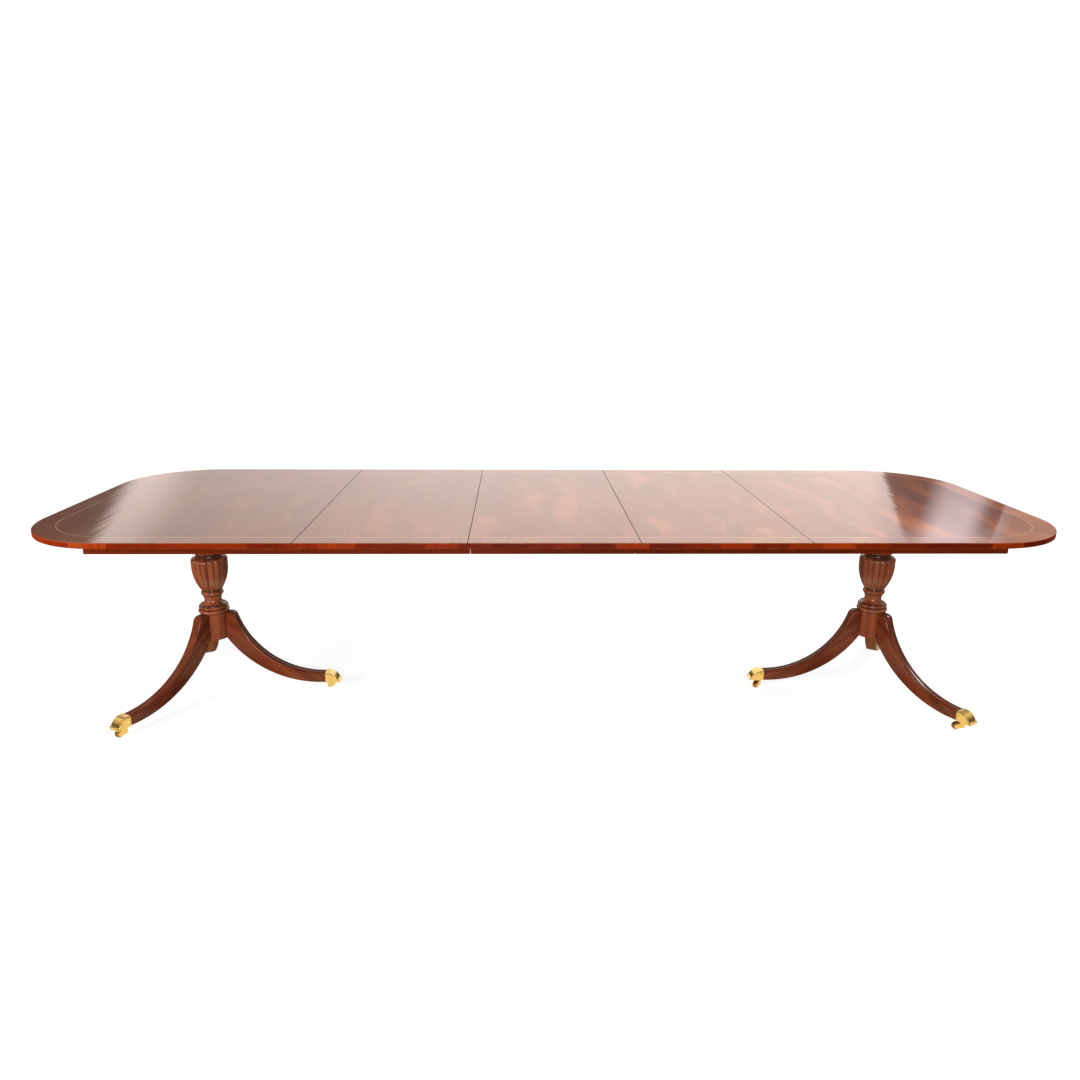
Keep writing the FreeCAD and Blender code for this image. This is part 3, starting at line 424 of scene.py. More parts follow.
@dataclass(frozen=True)
class VeneeredTop:
    """Flame mahogany in a crossbanded border with a pale string line, under a high polish."""

    gloss: Gloss = Gloss(roughness=0.3, specular=0.12, coat=1.0, coat_roughness=0.05)
    figure: Stops = ((0.30, (0.162, 0.038, 0.016)), (0.48, (0.205, 0.054, 0.021)),
                     (0.68, (0.255, 0.072, 0.027)))
    flame: Colour = (0.48, 0.14, 0.041)
    vein: Colour = (0.48, 0.115, 0.034)
    border: Stops = ((0.15, (0.136, 0.034, 0.014)), (0.5, (0.232, 0.067, 0.026)),
                     (0.85, (0.36, 0.122, 0.042)))
    string: Colour = (0.64, 0.38, 0.21)
    string_share: float = 0.9
    seam: Colour = (0.02, 0.008, 0.005)
    seam_fade: Step = (0.0008, 0.0022, 0.85, 0.0)
    border_width: float = 0.066
    string_width: float = 0.0026
    blur: float = 0.0004
    piece: float = LEAF_LENGTH / 6
    # How fine each layer of the figure is along the table and across it.
    streaks: Pair = (8.0, 1.4)
    plumes: Pair = (10.0, 2.6)
    fibres: Pair = (60.0, 5.0)
    pores: Pair = (330.0, 9.0)
    polish: Pair = (110.0, 3.0)
    panel_seed: float = 7.3
    drift_scale: float = 2.0
    drift_reach: Pair = (0.17, 0.34)
    plume_share: Pair = (0.5, 0.74)
    plume_rise: Step = (-0.9, 0.9, 0.35, 0.9)
    fibre_shade: Step = (0.25, 0.75, 0.92, 1.07)
    pore_shade: Step = (0.3, 0.75, 0.9, 1.05)
    left_shade: Step = (-1.3, 1.3, 0.86, 1.0)
    # The ragged vein near the right end: its middle, slope, sway, and how it fades aside and at its ends.
    vein_middle: float = 1.16
    vein_slope: float = 0.3
    vein_sway: float = 0.24
    vein_ragged: Pair = (6.0, 6.0)
    vein_seed: float = 4.0
    vein_aside: Step = (0.0, 0.05, 0.5, 0.0)
    vein_near: Pair = (-0.52, -0.3)
    vein_far: Step = (-0.06, 0.2, 1.0, 0.0)
    vein_fibre: Step = (0.35, 0.6, 0.5, 1.0)
    # The crossbanding: its lines, how much its pieces differ, and the painted light that brightens it to the
    # right, most at the right tip.
    band_lines: Pair = (55.0, 5.0)
    band_scale: float = 1.6
    band_level: Pair = (0.5, 0.25)
    band_swing: Step = (-1.5, 1.5, 0.12, 0.4)
    band_rise: Step = (-1.5, 1.3, 0.85, 1.15)
    band_tip: Step = (1.3, 1.6, 1.0, 1.4)
    # Strokes of the polish: how far they tilt the normals, and the share of that across the table.
    stroke: float = 0.010
    stroke_across: float = 0.12
    stroke_seed: float = 5.0
    stroke_range: Pair = (0.25, 0.75)

    def ragged_vein(self, board: NodeBoard, x: Socket, y: Socket) -> Socket:
        """Give how much of the vein shows at a place.

        Args:
            board: The board that gets the nodes.
            x: The place along the table.
            y: The place across the table.

        Returns:
            The share's socket.
        """
        ragged = board.noise(board.stretched(x, y, self.vein_ragged), detail=6.0, seed=self.vein_seed)
        course = board.plus(board.times(y, self.vein_slope), board.times(ragged, self.vein_sway))
        aside = board.math("ABSOLUTE", board.minus(x, board.plus(course, self.vein_middle)))
        reach = board.times(board.step(y, *self.vein_near), board.step(y, *self.vein_far))
        return board.times(board.step(aside, *self.vein_aside), reach)

    def field(self, board: NodeBoard, outline: TopOutline, x: Socket, y: Socket) -> Socket:
        """Colour the flame veneer inside the border.

        Args:
            board: The board that gets the nodes.
            outline: The top's outline.
            x: The place along the table.
            y: The place across the table.

        Returns:
            The colour's socket.
        """
        seed = board.times(outline.panel(board, x), self.panel_seed)
        drift = board.noise(board.join(x, y, 0.0), self.drift_scale, 1.0, seed, "Color")
        drift_x, drift_y, _ = board.split(drift)
        flow_x = board.plus(x, board.times(drift_x, self.drift_reach[0]))
        flow_y = board.plus(y, board.times(drift_y, self.drift_reach[1]))
        streaks, plumes, fibres = (
            board.noise(board.stretched(flow_x, flow_y, fineness), detail=detail, seed=seed)
            for fineness, detail in ((self.streaks, 4.0), (self.plumes, 6.0), (self.fibres, 4.0)))
        flames = board.times(board.step(plumes, *self.plume_share), board.step(x, *self.plume_rise))
        colour = board.mix(flames, board.ramp(streaks, self.figure), self.flame)
        vein = board.times(self.ragged_vein(board, x, y), board.step(fibres, *self.vein_fibre))
        colour = board.mix(vein, colour, self.vein)
        colour = board.shade(colour, board.step(fibres, *self.fibre_shade))
        return board.shade(colour, board.step(x, *self.left_shade))

    def crossbanding(self, board: NodeBoard, x: Socket, inset: Socket, along: Socket) -> Socket:
        """Colour the border, in short pieces with their grain across, and with painted light that brightens it
        to the right.

        Args:
            board: The board that gets the nodes.
            x: The place along the table.
            inset: How far a place is from the edge.
            along: How far along the edge it is.

        Returns:
            The colour's socket.
        """
        count = board.math("FLOOR", board.math("DIVIDE", board.plus(along, self.piece / 2), self.piece))
        tone = board.chance(count)
        lines = board.noise(board.stretched(along, inset, self.band_lines, tone), self.band_scale, 4.0)
        swing = board.times(board.minus(tone, 0.5), board.step(x, *self.band_swing))
        swell, middle = self.band_level
        share = board.plus(board.plus(board.times(lines, swell), middle), swing)
        # Painted light: the border is brighter to the right and brightest at the right tip.
        rise = board.times(board.step(x, *self.band_rise), board.step(x, *self.band_tip))
        return board.shade(board.ramp(share, self.border), rise)

    def hand_polish(self, board: NodeBoard, x: Socket, y: Socket) -> Socket:
        """Tilt the normals a little in long strokes, so that mirrored edges look feathered.

        Args:
            board: The board that gets the nodes.
            x: The place along the table.
            y: The place across the table.

        Returns:
            The normal's socket.
        """
        strokes = board.noise(board.stretched(x, y, self.polish), detail=3.0, seed=self.stroke_seed)
        tilt = board.step(strokes, *self.stroke_range, -self.stroke, self.stroke)
        return board.tilted(tilt, board.times(tilt, self.stroke_across))

    def material(self, outline: TopOutline) -> Material:
        """Make the polished face of the top.

        Args:
            outline: The top's outline.

        Returns:
            The material.
        """
        material, board, shader = self.gloss.start("polished_flame_mahogany")
        x, y, _ = board.split(board.place())
        inset, along = outline.measure(board, x, y)
        colour = self.field(board, outline, x, y)
        border = board.step(inset, self.border_width - self.blur, self.border_width, 1.0, 0.0)
        colour = board.mix(border, colour, self.crossbanding(board, x, inset, along))
        half = self.string_width / 2
        aside = board.math("ABSOLUTE", board.minus(inset, self.border_width + half))
        string = board.step(aside, half - self.blur, half + self.blur, self.string_share, 0.0)
        colour = board.mix(string, colour, self.string)
        pores = board.noise(board.stretched(x, y, self.pores), detail=3.0)
        colour = board.shade(colour, board.step(pores, *self.pore_shade))
        worn = board.step(outline.seam(board, x), *self.seam_fade)
        relief = self.hand_polish(board, x, y)
        board.wire(shader, {"Base Color": board.mix(worn, colour, self.seam), "Normal": relief,
                            "Coat Normal": relief})
        return material


@dataclass(frozen=True)
class EdgeBanding:
    """The crossbanded edge of the top: short orange-red pieces with upright grain, and arrises painted paler,
    partly as wear and partly as a painted highlight.
    """

    gloss: Gloss = Gloss(roughness=0.32, specular=0.03)
    tones: Stops = ((0.2, (0.09, 0.006, 0.001)), (0.45, (0.17, 0.012, 0.001)),
                    (0.68, (0.24, 0.02, 0.0015)), (0.9, (0.40, 0.055, 0.004)))
    # Paler colour along both arrises: partly wear, partly a painted highlight of the rounded arris.
    worn: Colour = (0.36, 0.10, 0.035)
    worn_share: Step = (0.52, 0.68, 0.12, 0.75)
    arris: Pair = (0.0015, 0.004)
    thickness: float = 0.019
    piece: float = LEAF_LENGTH / 5
    piece_drift: Pair = (6.0, 0.05)
    tone_share: float = 0.55
    line_share: float = 0.45
    lines: Pair = (70.0, 14.0)
    line_scale: float = 1.5
    line_depth: float = 0.00012
    chips: Pair = (40.0, 90.0)

    def material(self, outline: TopOutline) -> Material:
        """Make the edge's finish.

        Args:
            outline: The top's outline.

        Returns:
            The material.
        """
        material, board, shader = self.gloss.start("orange_red_edge_banding")
        x, y, z = board.split(board.place())
        _, along = outline.measure(board, x, y)
        fineness, reach = self.piece_drift
        drift = board.noise(board.join(board.times(along, fineness), 0.0, 0.0), detail=1.0)
        spot = board.plus(along, board.times(drift, reach))
        tone = board.chance(board.math("FLOOR", board.math("DIVIDE", spot, self.piece)))
        lines = board.noise(board.stretched(along, z, self.lines, tone), self.line_scale, 4.0)
        share = board.plus(board.times(tone, self.tone_share), board.times(lines, self.line_share))
        chip_along, chip_up = board.times(along, self.chips[0]), board.times(z, self.chips[1])
        chips = board.noise(board.join(chip_along, 0.0, chip_up), detail=4.0)
        head, foot = outline.height, outline.height - self.thickness
        near, far = self.arris
        low, high = board.step(z, foot + near, foot + far, 1.0, 0.0), board.step(z, head - far, head - near)
        # Both arrises are painted paler in patches: partly wear, partly a painted highlight.
        worn = board.times(board.math("MAXIMUM", low, high), board.step(chips, *self.worn_share))
        board.wire(shader, {"Base Color": board.mix(worn, board.ramp(share, self.tones), self.worn),
                            "Normal": board.bump(lines, self.line_depth)})
        return material


@dataclass(frozen=True)
class StraightWood:
    """Straight-grained wood with fine pores, in any frame."""

    gloss: Gloss
    tones: Stops
    fineness: float = 1.6
    pore_ratio: float = 11.0
    pore_shade: Step = (0.3, 0.7, 0.86, 1.06)
    pore_depth: float = 0.00015
    leg_grain: Spot = (1.6, 30.0, 26.0)
    leg_crown: float = 30.0

    def grain(self, board: NodeBoard, vector: Socket) -> tuple[Socket, Socket]:
        """Colour the grain.

        Args:
            board: The board that gets the nodes.
            vector: Coordinates that are already stretched along the grain.

        Returns:
            The colour, and the height of the pores.
        """
        broad = board.noise(vector, self.fineness, 4.0)
        pores = board.noise(vector, self.fineness * self.pore_ratio, 3.0)
        return board.shade(board.ramp(broad, self.tones), board.step(pores, *self.pore_shade)), pores

    def material(self, name: str, grain: Grain) -> Material:
        """Make the wood for a straight piece.

        Args:
            name: The material's name.
            grain: The axis that the grain follows.

        Returns:
            The material.
        """
        material, board, shader = self.gloss.start(name)
        colour, pores = self.grain(board, board.mapped(grain.value))
        board.wire(shader, {"Base Color": colour, "Normal": board.bump(pores, self.pore_depth)})
        return material

    def leg_material(self, name: str, base: Spot, angle: float, slope: float) -> Material:
        """Make the wood for a leg, with the grain along it.

        Args:
            name: The material's name.
            base: The foot of the column's axis.
            angle: The leg's angle about the column.
            slope: How far the grain dips towards the toe.

        Returns:
            The material.
        """
        material, board, shader = self.gloss.start(name)
        colour, pores = self.grain(board, board.mapped(self.leg_grain, base, (0, slope, angle)))
        _, across, _ = board.split(board.mapped((1, 1, 1), base, (0, 0, angle)))
        rounded = board.tilted(board.times(across, -self.leg_crown * math.sin(angle)),
                               board.times(across, self.leg_crown * math.cos(angle)))
        board.wire(shader, {"Base Color": colour, "Normal": board.bump(pores, self.pore_depth, rounded),
                            "Coat Normal": rounded})
        return material


@dataclass(frozen=True)
class TurnedMahogany:
    """Mahogany of a turned column, with painted shade darkening its reed grooves and coves."""

    wood: StraightWood = StraightWood(
        Gloss(roughness=0.3, specular=0.1, coat=1.0, coat_roughness=0.05, coat_index=1.65),
        ((0.28, (0.165, 0.035, 0.012)), (0.5, (0.29, 0.067, 0.024)), (0.72, (0.41, 0.106, 0.040))),
        pore_depth=0.00012)
    # Colour of the painted shade in the reed grooves and the coves.
    groove: Colour = (0.022, 0.006, 0.004)
    reeds: int = 16
    reed_groove: Step = (-0.995, -0.84, 0.62, 0.0)
    urn_foot: Pair = (0.402, 0.408)
    urn_head: Pair = (0.518, 0.523)
    # Heights of the coves with half their width, how dark their painted shade is, and the share that is
    # darkest.
    hollows: tuple[Pair, ...] = ((0.312, 0.0026), (0.330, 0.0028), (0.3425, 0.0032), (0.381, 0.003),
                                 (0.3985, 0.0045), (0.533, 0.012))
    hollow_dark: float = 0.8
    hollow_core: float = 0.4

    def material(self, name: str, axis_x: float) -> Material:
        """Make the finish of one column.

        Args:
            name: The material's name.
            axis_x: Where the column's axis stands.

        Returns:
            The material.
        """
        material, board, shader = self.wood.gloss.start(name)
        axis = (axis_x, 0, 0)
        colour, pores = self.wood.grain(board, board.mapped(Grain.UPRIGHT.value, axis))
        x, y, z = board.split(board.mapped((1, 1, 1), axis))
        wave = board.math("COSINE", board.times(board.math("ARCTAN2", y, x), float(self.reeds)))
        urn = board.times(board.step(z, *self.urn_foot), board.step(z, *self.urn_head, 1.0, 0.0))
        # Painted shade: the urn's reed grooves and the coves are darkened.
        dark = board.times(board.step(wave, *self.reed_groove), urn)
        for height, half in self.hollows:
            gap = board.math("ABSOLUTE", board.minus(z, height))
            hollow = board.step(gap, half * self.hollow_core, half, self.hollow_dark, 0.0)
            dark = board.math("MAXIMUM", dark, hollow)
        board.wire(shader, {"Base Color": board.mix(dark, colour, self.groove),
                            "Normal": board.bump(pores, self.wood.pore_depth)})
        return material


@dataclass(frozen=True)
class Metal:
    """Worn metal with cloudy patches and fine scratches."""

    gloss: Gloss
    bright: Colour
    dull: Colour
    patch: float = 45.0
    patch_share: Pair = (0.42, 0.72)
    patch_roughness: float = 0.16
    scratch_turn: Spot = (0.4, 0.7, 0.2)
    scratch_grain: Spot = (600.0, 40.0, 40.0)
    scratch_depth: float = 0.000006

    def material(self, name: str) -> Material:
        """Make the metal.

        Args:
            name: The material's name.

        Returns:
            The material.
        """
        material, board, shader = self.gloss.start(name)
        cloud = board.noise(board.place(), self.patch, 4.0)
        scratch = board.noise(board.mapped(self.scratch_grain, rotation=self.scratch_turn))
        smoothest = self.gloss.roughness - self.patch_roughness / 2
        board.wire(shader, {
            "Base Color": board.mix(board.step(cloud, *self.patch_share), self.bright, self.dull),
            "Roughness": board.plus(board.times(cloud, self.patch_roughness), smoothest),
            "Normal": board.bump(scratch, self.scratch_depth)})
        return material


def link(piece: bpy.types.Object) -> bpy.types.Object:
    """Put an object into the scene and give it back."""
    bpy.context.scene.collection.objects.link(piece)
    return piece


def dress(node: str, material: Material) -> None:
    """Give a carried-over node its finish.

    Args:
        node: The node's name.
        material: The finish.
    """
    slots = frame["nodes"][node].data.materials
    slots.clear()
    slots.append(material)
    LOG.info("dressed %s in %s", node, material.name)


def flatten_broad_faces(piece: bpy.types.Object) -> None:
    """Weigh a piece's normals by area, so that flat faces stay flat beside their rounded edges.

    Args:
        piece: The piece, whose mesh is replaced.
    """
    weighing = piece.modifiers.new("weighing", "WEIGHTED_NORMAL")
    weighing.mode = "FACE_AREA"
    weighing.keep_sharp = True
    graph = bpy.context.evaluated_depsgraph_get()
    before = piece.data
    piece.data = bpy.data.meshes.new_from_object(piece.evaluated_get(graph))
    piece.modifiers.clear()
    name = before.name
    bpy.data.meshes.remove(before)
    piece.data.name = name


def smooth_copy(node: str, name: str, finishes: list[Material]) -> bpy.types.Object:
    """Make a smooth-shaded piece of a node's shape that stands for it.

    Args:
        node: The node that it stands for.
        name: The piece's name.
        finishes: Its materials, of which the first goes on every face.

    Returns:
        The piece, on the node's body.
    """
    source = frame["nodes"][node]
    mesh = source.data.copy()
    mesh.name = name
    work = bmesh.new()
    work.from_mesh(mesh)
    bmesh.ops.remove_doubles(work, verts=work.verts, dist=MERGE_REACH)
    for face in work.faces:
        face.material_index = 0
        face.smooth = True
    work.to_mesh(mesh)
    work.free()
    mesh.materials.clear()
    for material in finishes:
        mesh.materials.append(material)
    mesh.set_sharp_from_angle(angle=SMOOTH_ANGLE)
    piece = link(bpy.data.objects.new(name, mesh))
    flatten_broad_faces(piece)
    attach(piece, source["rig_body"])
    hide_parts(node)
    LOG.info("%s stands for %s", name, node)
    return piece


@dataclass
class TableTop:
    """The five panels of the top, each with a polished face, a banded edge and a plain underside."""

    outline: TopOutline = TopOutline()
    face: VeneeredTop = VeneeredTop()
    edge: EdgeBanding = EdgeBanding()
    underside: StraightWood = StraightWood(Gloss(roughness=0.55, specular=0.2),
                                           ((0.3, (0.12, 0.055, 0.03)), (0.7, (0.26, 0.13, 0.07))))
    joint: StraightWood = StraightWood(Gloss(roughness=0.6, specular=0.02),
                                       ((0.3, (0.010, 0.004, 0.003)), (0.7, (0.028, 0.012, 0.008))))
    joint_reach: float = 0.0012
    joint_lift: float = 0.02
    level_lift: float = 0.6

    def part(self, lift: float, x: float) -> TopPart:
        """Tell which part of a panel a face belongs to.

        Args:
            lift: The Z of the face's normal.
            x: The face's place along the table.

        Returns:
            The part.
        """
        seams = (share * self.outline.leaf for share in self.outline.seams)
        if lift > self.joint_lift and any(abs(abs(x) - seam) < self.joint_reach for seam in seams):
            return TopPart.JOINT
        if abs(lift) > self.level_lift:
            return TopPart.FACE if lift > 0 else TopPart.UNDERSIDE
        return TopPart.EDGE

    def build(self) -> None:
        """Make the panels' pieces and sort their faces by finish."""
        finishes = [self.face.material(self.outline), self.edge.material(self.outline),
                    self.underside.material("plain_underside", Grain.ALONG),
                    self.joint.material("dark_joint", Grain.ACROSS)]
        panels = {f"{word}_leaf_panel": f"{word}_leaf_top" for word in LEAVES}
        panels.update({f"{side.word}_end_top": f"{side.word}_end_panel" for side in Side})
        for node, name in panels.items():
            for face in smooth_copy(node, name, finishes).data.polygons:
                face.material_index = self.part(face.normal.z, face.center.x).value


@dataclass
class Aprons:
    """The apron rails under the end tops and the leaves."""

    wood: StraightWood = StraightWood(
        Gloss(roughness=0.4, specular=0.02),
        ((0.28, (0.11, 0.012, 0.001)), (0.5, (0.165, 0.019, 0.002)), (0.74, (0.23, 0.03, 0.003))))

    def build(self) -> None:
        """Dress every rail, with its grain along it."""
        along = self.wood.material("apron_mahogany_along", Grain.ALONG)
        across = self.wood.material("apron_mahogany_across", Grain.ACROSS)
        for owner in [f"{word}_leaf" for word in LEAVES] + [side.word for side in Side]:
            dress(f"{owner}_front_apron", along)
            dress(f"{owner}_back_apron", along)
        for side in Side:
            dress(f"{side.word}_end_apron", across)


@dataclass
class Pedestal:
    """A reeded column with three sabre legs, their brass toe caps and casters."""

    side: Side
    column: TurnedMahogany = TurnedMahogany()
    leg: StraightWood = StraightWood(
        Gloss(roughness=0.3, specular=0.1, coat=0.48, coat_roughness=0.07),
        ((0.28, (0.09, 0.015, 0.004)), (0.5, (0.165, 0.030, 0.009)), (0.72, (0.25, 0.054, 0.018))))
    raw: StraightWood = StraightWood(
        Gloss(roughness=0.6, specular=0.05),
        ((0.28, (0.36, 0.125, 0.032)), (0.5, (0.46, 0.175, 0.048)), (0.72, (0.55, 0.22, 0.066))))
    slope: float = math.radians(35.0)
    raw_lift: float = -0.3
    # The sunk lines of a toe cap: how far out their floor is, how exact that is, their walls and leans.
    line_floor: float = 0.0202
    line_play: float = 0.0004
    line_wall: float = 0.0007
    floor_lean: float = 0.98
    wall_lean: float = 0.05

    def blacken_lines(self, cap: bpy.types.Object, leg: Leg) -> None:
        """Give the sunk lines in a toe cap's sides their second material, a dark painted shade.

        Args:
            cap: The toe cap.
            leg: The leg that it ends.
        """
        back = Matrix.Rotation(-leg.angle(self.side), 3, "Z")
        axis = Vector((COLUMN_REACH * self.side.value, 0, 0))
        for face in cap.data.polygons:
            out, lean = abs((back @ (face.center - axis)).y), abs((back @ face.normal).y)
            depth = out - self.line_floor
            floor_of_line = lean > self.floor_lean and abs(depth) < self.line_play
            wall_of_line = lean < self.wall_lean and 0 < depth < self.line_wall
            # The faces of the sunk lines get the dark material, which is painted shade.
            face.material_index = int(floor_of_line or wall_of_line)

    def build(self, brass: Material, line_shade: Material, wheel: Material) -> None:
        """Make the pedestal's pieces.

        Args:
            brass: The finish of caps and forks.
            line_shade: The dark material of painted shade in the sunk lines of the caps.
            wheel: The finish of the wheels.
        """
        word = self.side.word
        reach = COLUMN_REACH * self.side.value
        smooth_copy(f"{word}_column", f"{word}_reeded_column",
                    [self.column.material(f"{word}_turned_mahogany", reach)])
        for leg in Leg:
            name = f"{word}_{leg.word}"
            lay = ((reach, 0, 0), leg.angle(self.side), self.slope)
            piece = smooth_copy(f"{name}_leg", f"{name}_sabre_leg",
                                [self.leg.leg_material(f"{name}_leg_mahogany", *lay),
                                 self.raw.leg_material(f"{name}_leg_raw_underside", *lay)])
            for face in piece.data.polygons:
                face.material_index = int(face.normal.z < self.raw_lift)
            self.blacken_lines(smooth_copy(f"{name}_toe_cap", f"{name}_brass_toe", [brass, line_shade]), leg)
            smooth_copy(f"{name}_caster_fork", f"{name}_brass_fork", [brass])
            smooth_copy(f"{name}_caster_wheel", f"{name}_tread_wheel", [wheel])


@dataclass
class ToeScrews:
    """Slotted round-head screws through the sides of the toe caps, set out by a node tree."""

    side: Side
    along: float = 0.405
    out: float = 0.021
    height: float = 0.051
    head_radius: float = 0.003
    head_height: float = 0.0014
    head_rings: int = 5
    head_sides: int = 20
    slot_width: float = 0.0007
    slot_depth: float = 0.0006
    slot_from: float = 0.3
    slot_turn: Pair = (0.6, 0.8)
    shank_length: float = 0.004
    shank_share: float = 0.5
    merge: float = 1e-6

    def pattern(self) -> bpy.types.Object:
        """Make one screw at the origin, with its head along +Z.

        Returns:
            The screw's object, which isn't part of the scene.
        """
        work = bmesh.new()
        shank = self.head_radius * self.shank_share
        turns = [math.pi / 2 * ring / self.head_rings for ring in range(self.head_rings + 1)]
        profile = [(shank, 0, -self.shank_length), (shank, 0, 0)]
        profile += [(self.head_radius * math.cos(turn), 0, self.head_height * math.sin(turn)) for turn in turns]
        line = [work.verts.new(spot) for spot in profile]
        edges = [work.edges.new(pair) for pair in zip(line, line[1:])]
        bmesh.ops.spin(work, geom=[*line, *edges], cent=(0, 0, 0), axis=(0, 0, 1), angle=math.tau,
                       steps=self.head_sides)
        bmesh.ops.remove_doubles(work, verts=work.verts, dist=self.merge)
        for wall in (-self.slot_width / 2, self.slot_width / 2):
            everything = [*work.verts, *work.edges, *work.faces]
            bmesh.ops.bisect_plane(work, geom=everything, plane_co=(0, wall, 0), plane_no=(0, 1, 0))
        groove = [face for face in work.faces if abs(face.calc_center_median().y) < self.slot_width / 2
                  and face.calc_center_median().z > self.head_height * self.slot_from]
        sunk = bmesh.ops.extrude_face_region(work, geom=groove)["geom"]
        bmesh.ops.translate(work, verts=[item for item in sunk if isinstance(item, bmesh.types.BMVert)],
                            vec=(0, 0, -self.slot_depth))
        bmesh.ops.delete(work, geom=groove, context="FACES_ONLY")
        bmesh.ops.holes_fill(work, edges=work.edges)
        bmesh.ops.recalc_face_normals(work, faces=work.faces)
        mesh = bpy.data.meshes.new("toe_screw_pattern")
        work.to_mesh(mesh)
        work.free()
        return bpy.data.objects.new("toe_screw_pattern", mesh)

    def points(self) -> tuple[list[Vector], list[Vector]]:
        """Set out the screws.

        Returns:
            Their places, and their turns as Euler angles.
        """
        places, turns = [], []
        first, further = self.slot_turn
        for index, leg in enumerate(Leg):
            leg_turn = Matrix.Rotation(leg.angle(self.side), 4, "Z")
            for hand in (-1, 1):
                spot = leg_turn @ Vector((self.along, hand * self.out, self.height))
                places.append(spot + Vector((COLUMN_REACH * self.side.value, 0, 0)))
                slot_turn = Matrix.Rotation(first + further * index + hand, 4, "Z")
                lay = leg_turn @ Matrix.Rotation(-hand * math.pi / 2, 4, "X") @ slot_turn
                turns.append(Vector(lay.to_euler()))
        return places, turns

    def tree(self) -> bpy.types.NodeTree:
        """Build the node tree that puts a screw on each point.

        Returns:
            The tree.
        """
        tree = bpy.data.node_groups.new("toe_screw_setting", "GeometryNodeTree")
        inputs = {"Places": "Geometry", "Screw": "Object", "Size": "Float", "Finish": "Material"}
        for name, kind in inputs.items():
            tree.interface.new_socket(name, in_out="INPUT", socket_type=f"NodeSocket{kind}")
        tree.interface.new_socket("Screws", in_out="OUTPUT", socket_type="NodeSocketGeometry")
        board = NodeBoard(tree)
        given = board.add("NodeGroupInput")
        screw = board.add("GeometryNodeObjectInfo", {"Object": given.outputs["Screw"]})
        turn = board.add("GeometryNodeInputNamedAttribute", {"Name": "turn"}, data_type="FLOAT_VECTOR")
        setting = board.add("GeometryNodeInstanceOnPoints", {
            "Points": given.outputs["Places"], "Instance": screw.outputs["Geometry"],
            "Rotation": turn.outputs[0], "Scale": given.outputs["Size"]})
        solid = board.add("GeometryNodeRealizeInstances", {0: setting.outputs[0]})
        paint = board.add("GeometryNodeSetMaterial", {
            "Geometry": solid.outputs[0], "Material": given.outputs["Finish"]})
        board.add("NodeGroupOutput", {0: paint.outputs[0]})
        return tree

    def build(self, brass: Material) -> None:
        """Make the screws of one half as one plain mesh.

        Args:
            brass: Their finish.
        """
        places, turns = self.points()
        mesh = bpy.data.meshes.new("toe_screw_places")
        mesh.from_pydata(places, [], [])
        turn = mesh.attributes.new("turn", "FLOAT_VECTOR", "POINT")
        turn.data.foreach_set("vector", [number for euler in turns for number in euler])
        carrier = link(bpy.data.objects.new("toe_screw_places", mesh))
        pattern = self.pattern()
        setting = carrier.modifiers.new("setting", "NODES")
        setting.node_group = self.tree()
        values = {"Screw": pattern, "Size": 1.0, "Finish": brass}
        for item in setting.node_group.interface.items_tree:
            if item.item_type == "SOCKET" and item.name in values:
                setting[item.identifier] = values[item.name]
        graph = bpy.context.evaluated_depsgraph_get()
        made = bpy.data.meshes.new_from_object(carrier.evaluated_get(graph))
        bpy.data.objects.remove(carrier)
        bpy.data.objects.remove(pattern)
        piece = link(bpy.data.objects.new(f"{self.side.word}_toe_screws", made))
        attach(piece, f"{self.side.word}_half")
        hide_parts(f"{self.side.word}_cap_screws")
        LOG.info("%s holds %d screws", piece.name, len(places))


@dataclass
class Understructure:
    """What carries the top: bearer blocks, corner blocks, sliding rails, drum plates and screws."""

    hardwood: StraightWood = StraightWood(
        Gloss(roughness=0.5, specular=0.25),
        ((0.28, (0.26, 0.14, 0.06)), (0.5, (0.40, 0.24, 0.115)), (0.74, (0.52, 0.34, 0.18))))
    iron: Metal = Metal(Gloss(roughness=0.5, metal=1.0), (0.10, 0.095, 0.09), (0.17, 0.12, 0.085))
    steel: Metal = Metal(Gloss(roughness=0.34, metal=1.0), (0.46, 0.45, 0.43), (0.30, 0.28, 0.26))

    def build(self) -> None:
        """Dress the hidden pieces."""
        along = self.hardwood.material("hardwood_along", Grain.ALONG)
        across = self.hardwood.material("hardwood_across", Grain.ACROSS)
        iron, steel = self.iron.material("blackened_iron"), self.steel.material("plain_steel")
        for where in ("front", "back"):
            for owner in ("left", "centre", "right"):
                dress(f"{owner}_{where}_slide", along)
        for side in Side:
            dress(f"{side.word}_bearer_block", across)
            dress(f"{side.word}_corner_blocks", across)
            dress(f"{side.word}_hub_plate", iron)
            dress(f"{side.word}_wood_screws", steel)


@dataclass(frozen=True)
class Lamp:
    """A rectangular lamp: where it hangs, what it points at, its width and height, and its watts."""

    name: str
    spot: Spot
    aim: Spot
    size: Pair
    power: float
    use: Light = Light.SOFT

    def hang(self) -> bpy.types.Object:
        """Put the lamp into the scene.

        Returns:
            The lamp's object.
        """
        data = bpy.data.lights.new(self.name, "AREA")
        data.shape = "RECTANGLE"
        data.size, data.size_y = self.size
        data.energy = self.power
        lamp = link(bpy.data.objects.new(self.name, data))
        lamp.location = self.spot
        lamp.visible_glossy = self.use is Light.MIRRORED
        lamp.visible_diffuse = self.use is Light.SOFT
        lamp.rotation_euler = (Vector(self.aim) - Vector(self.spot)).to_track_quat("-Z", "Y").to_euler()
        return lamp


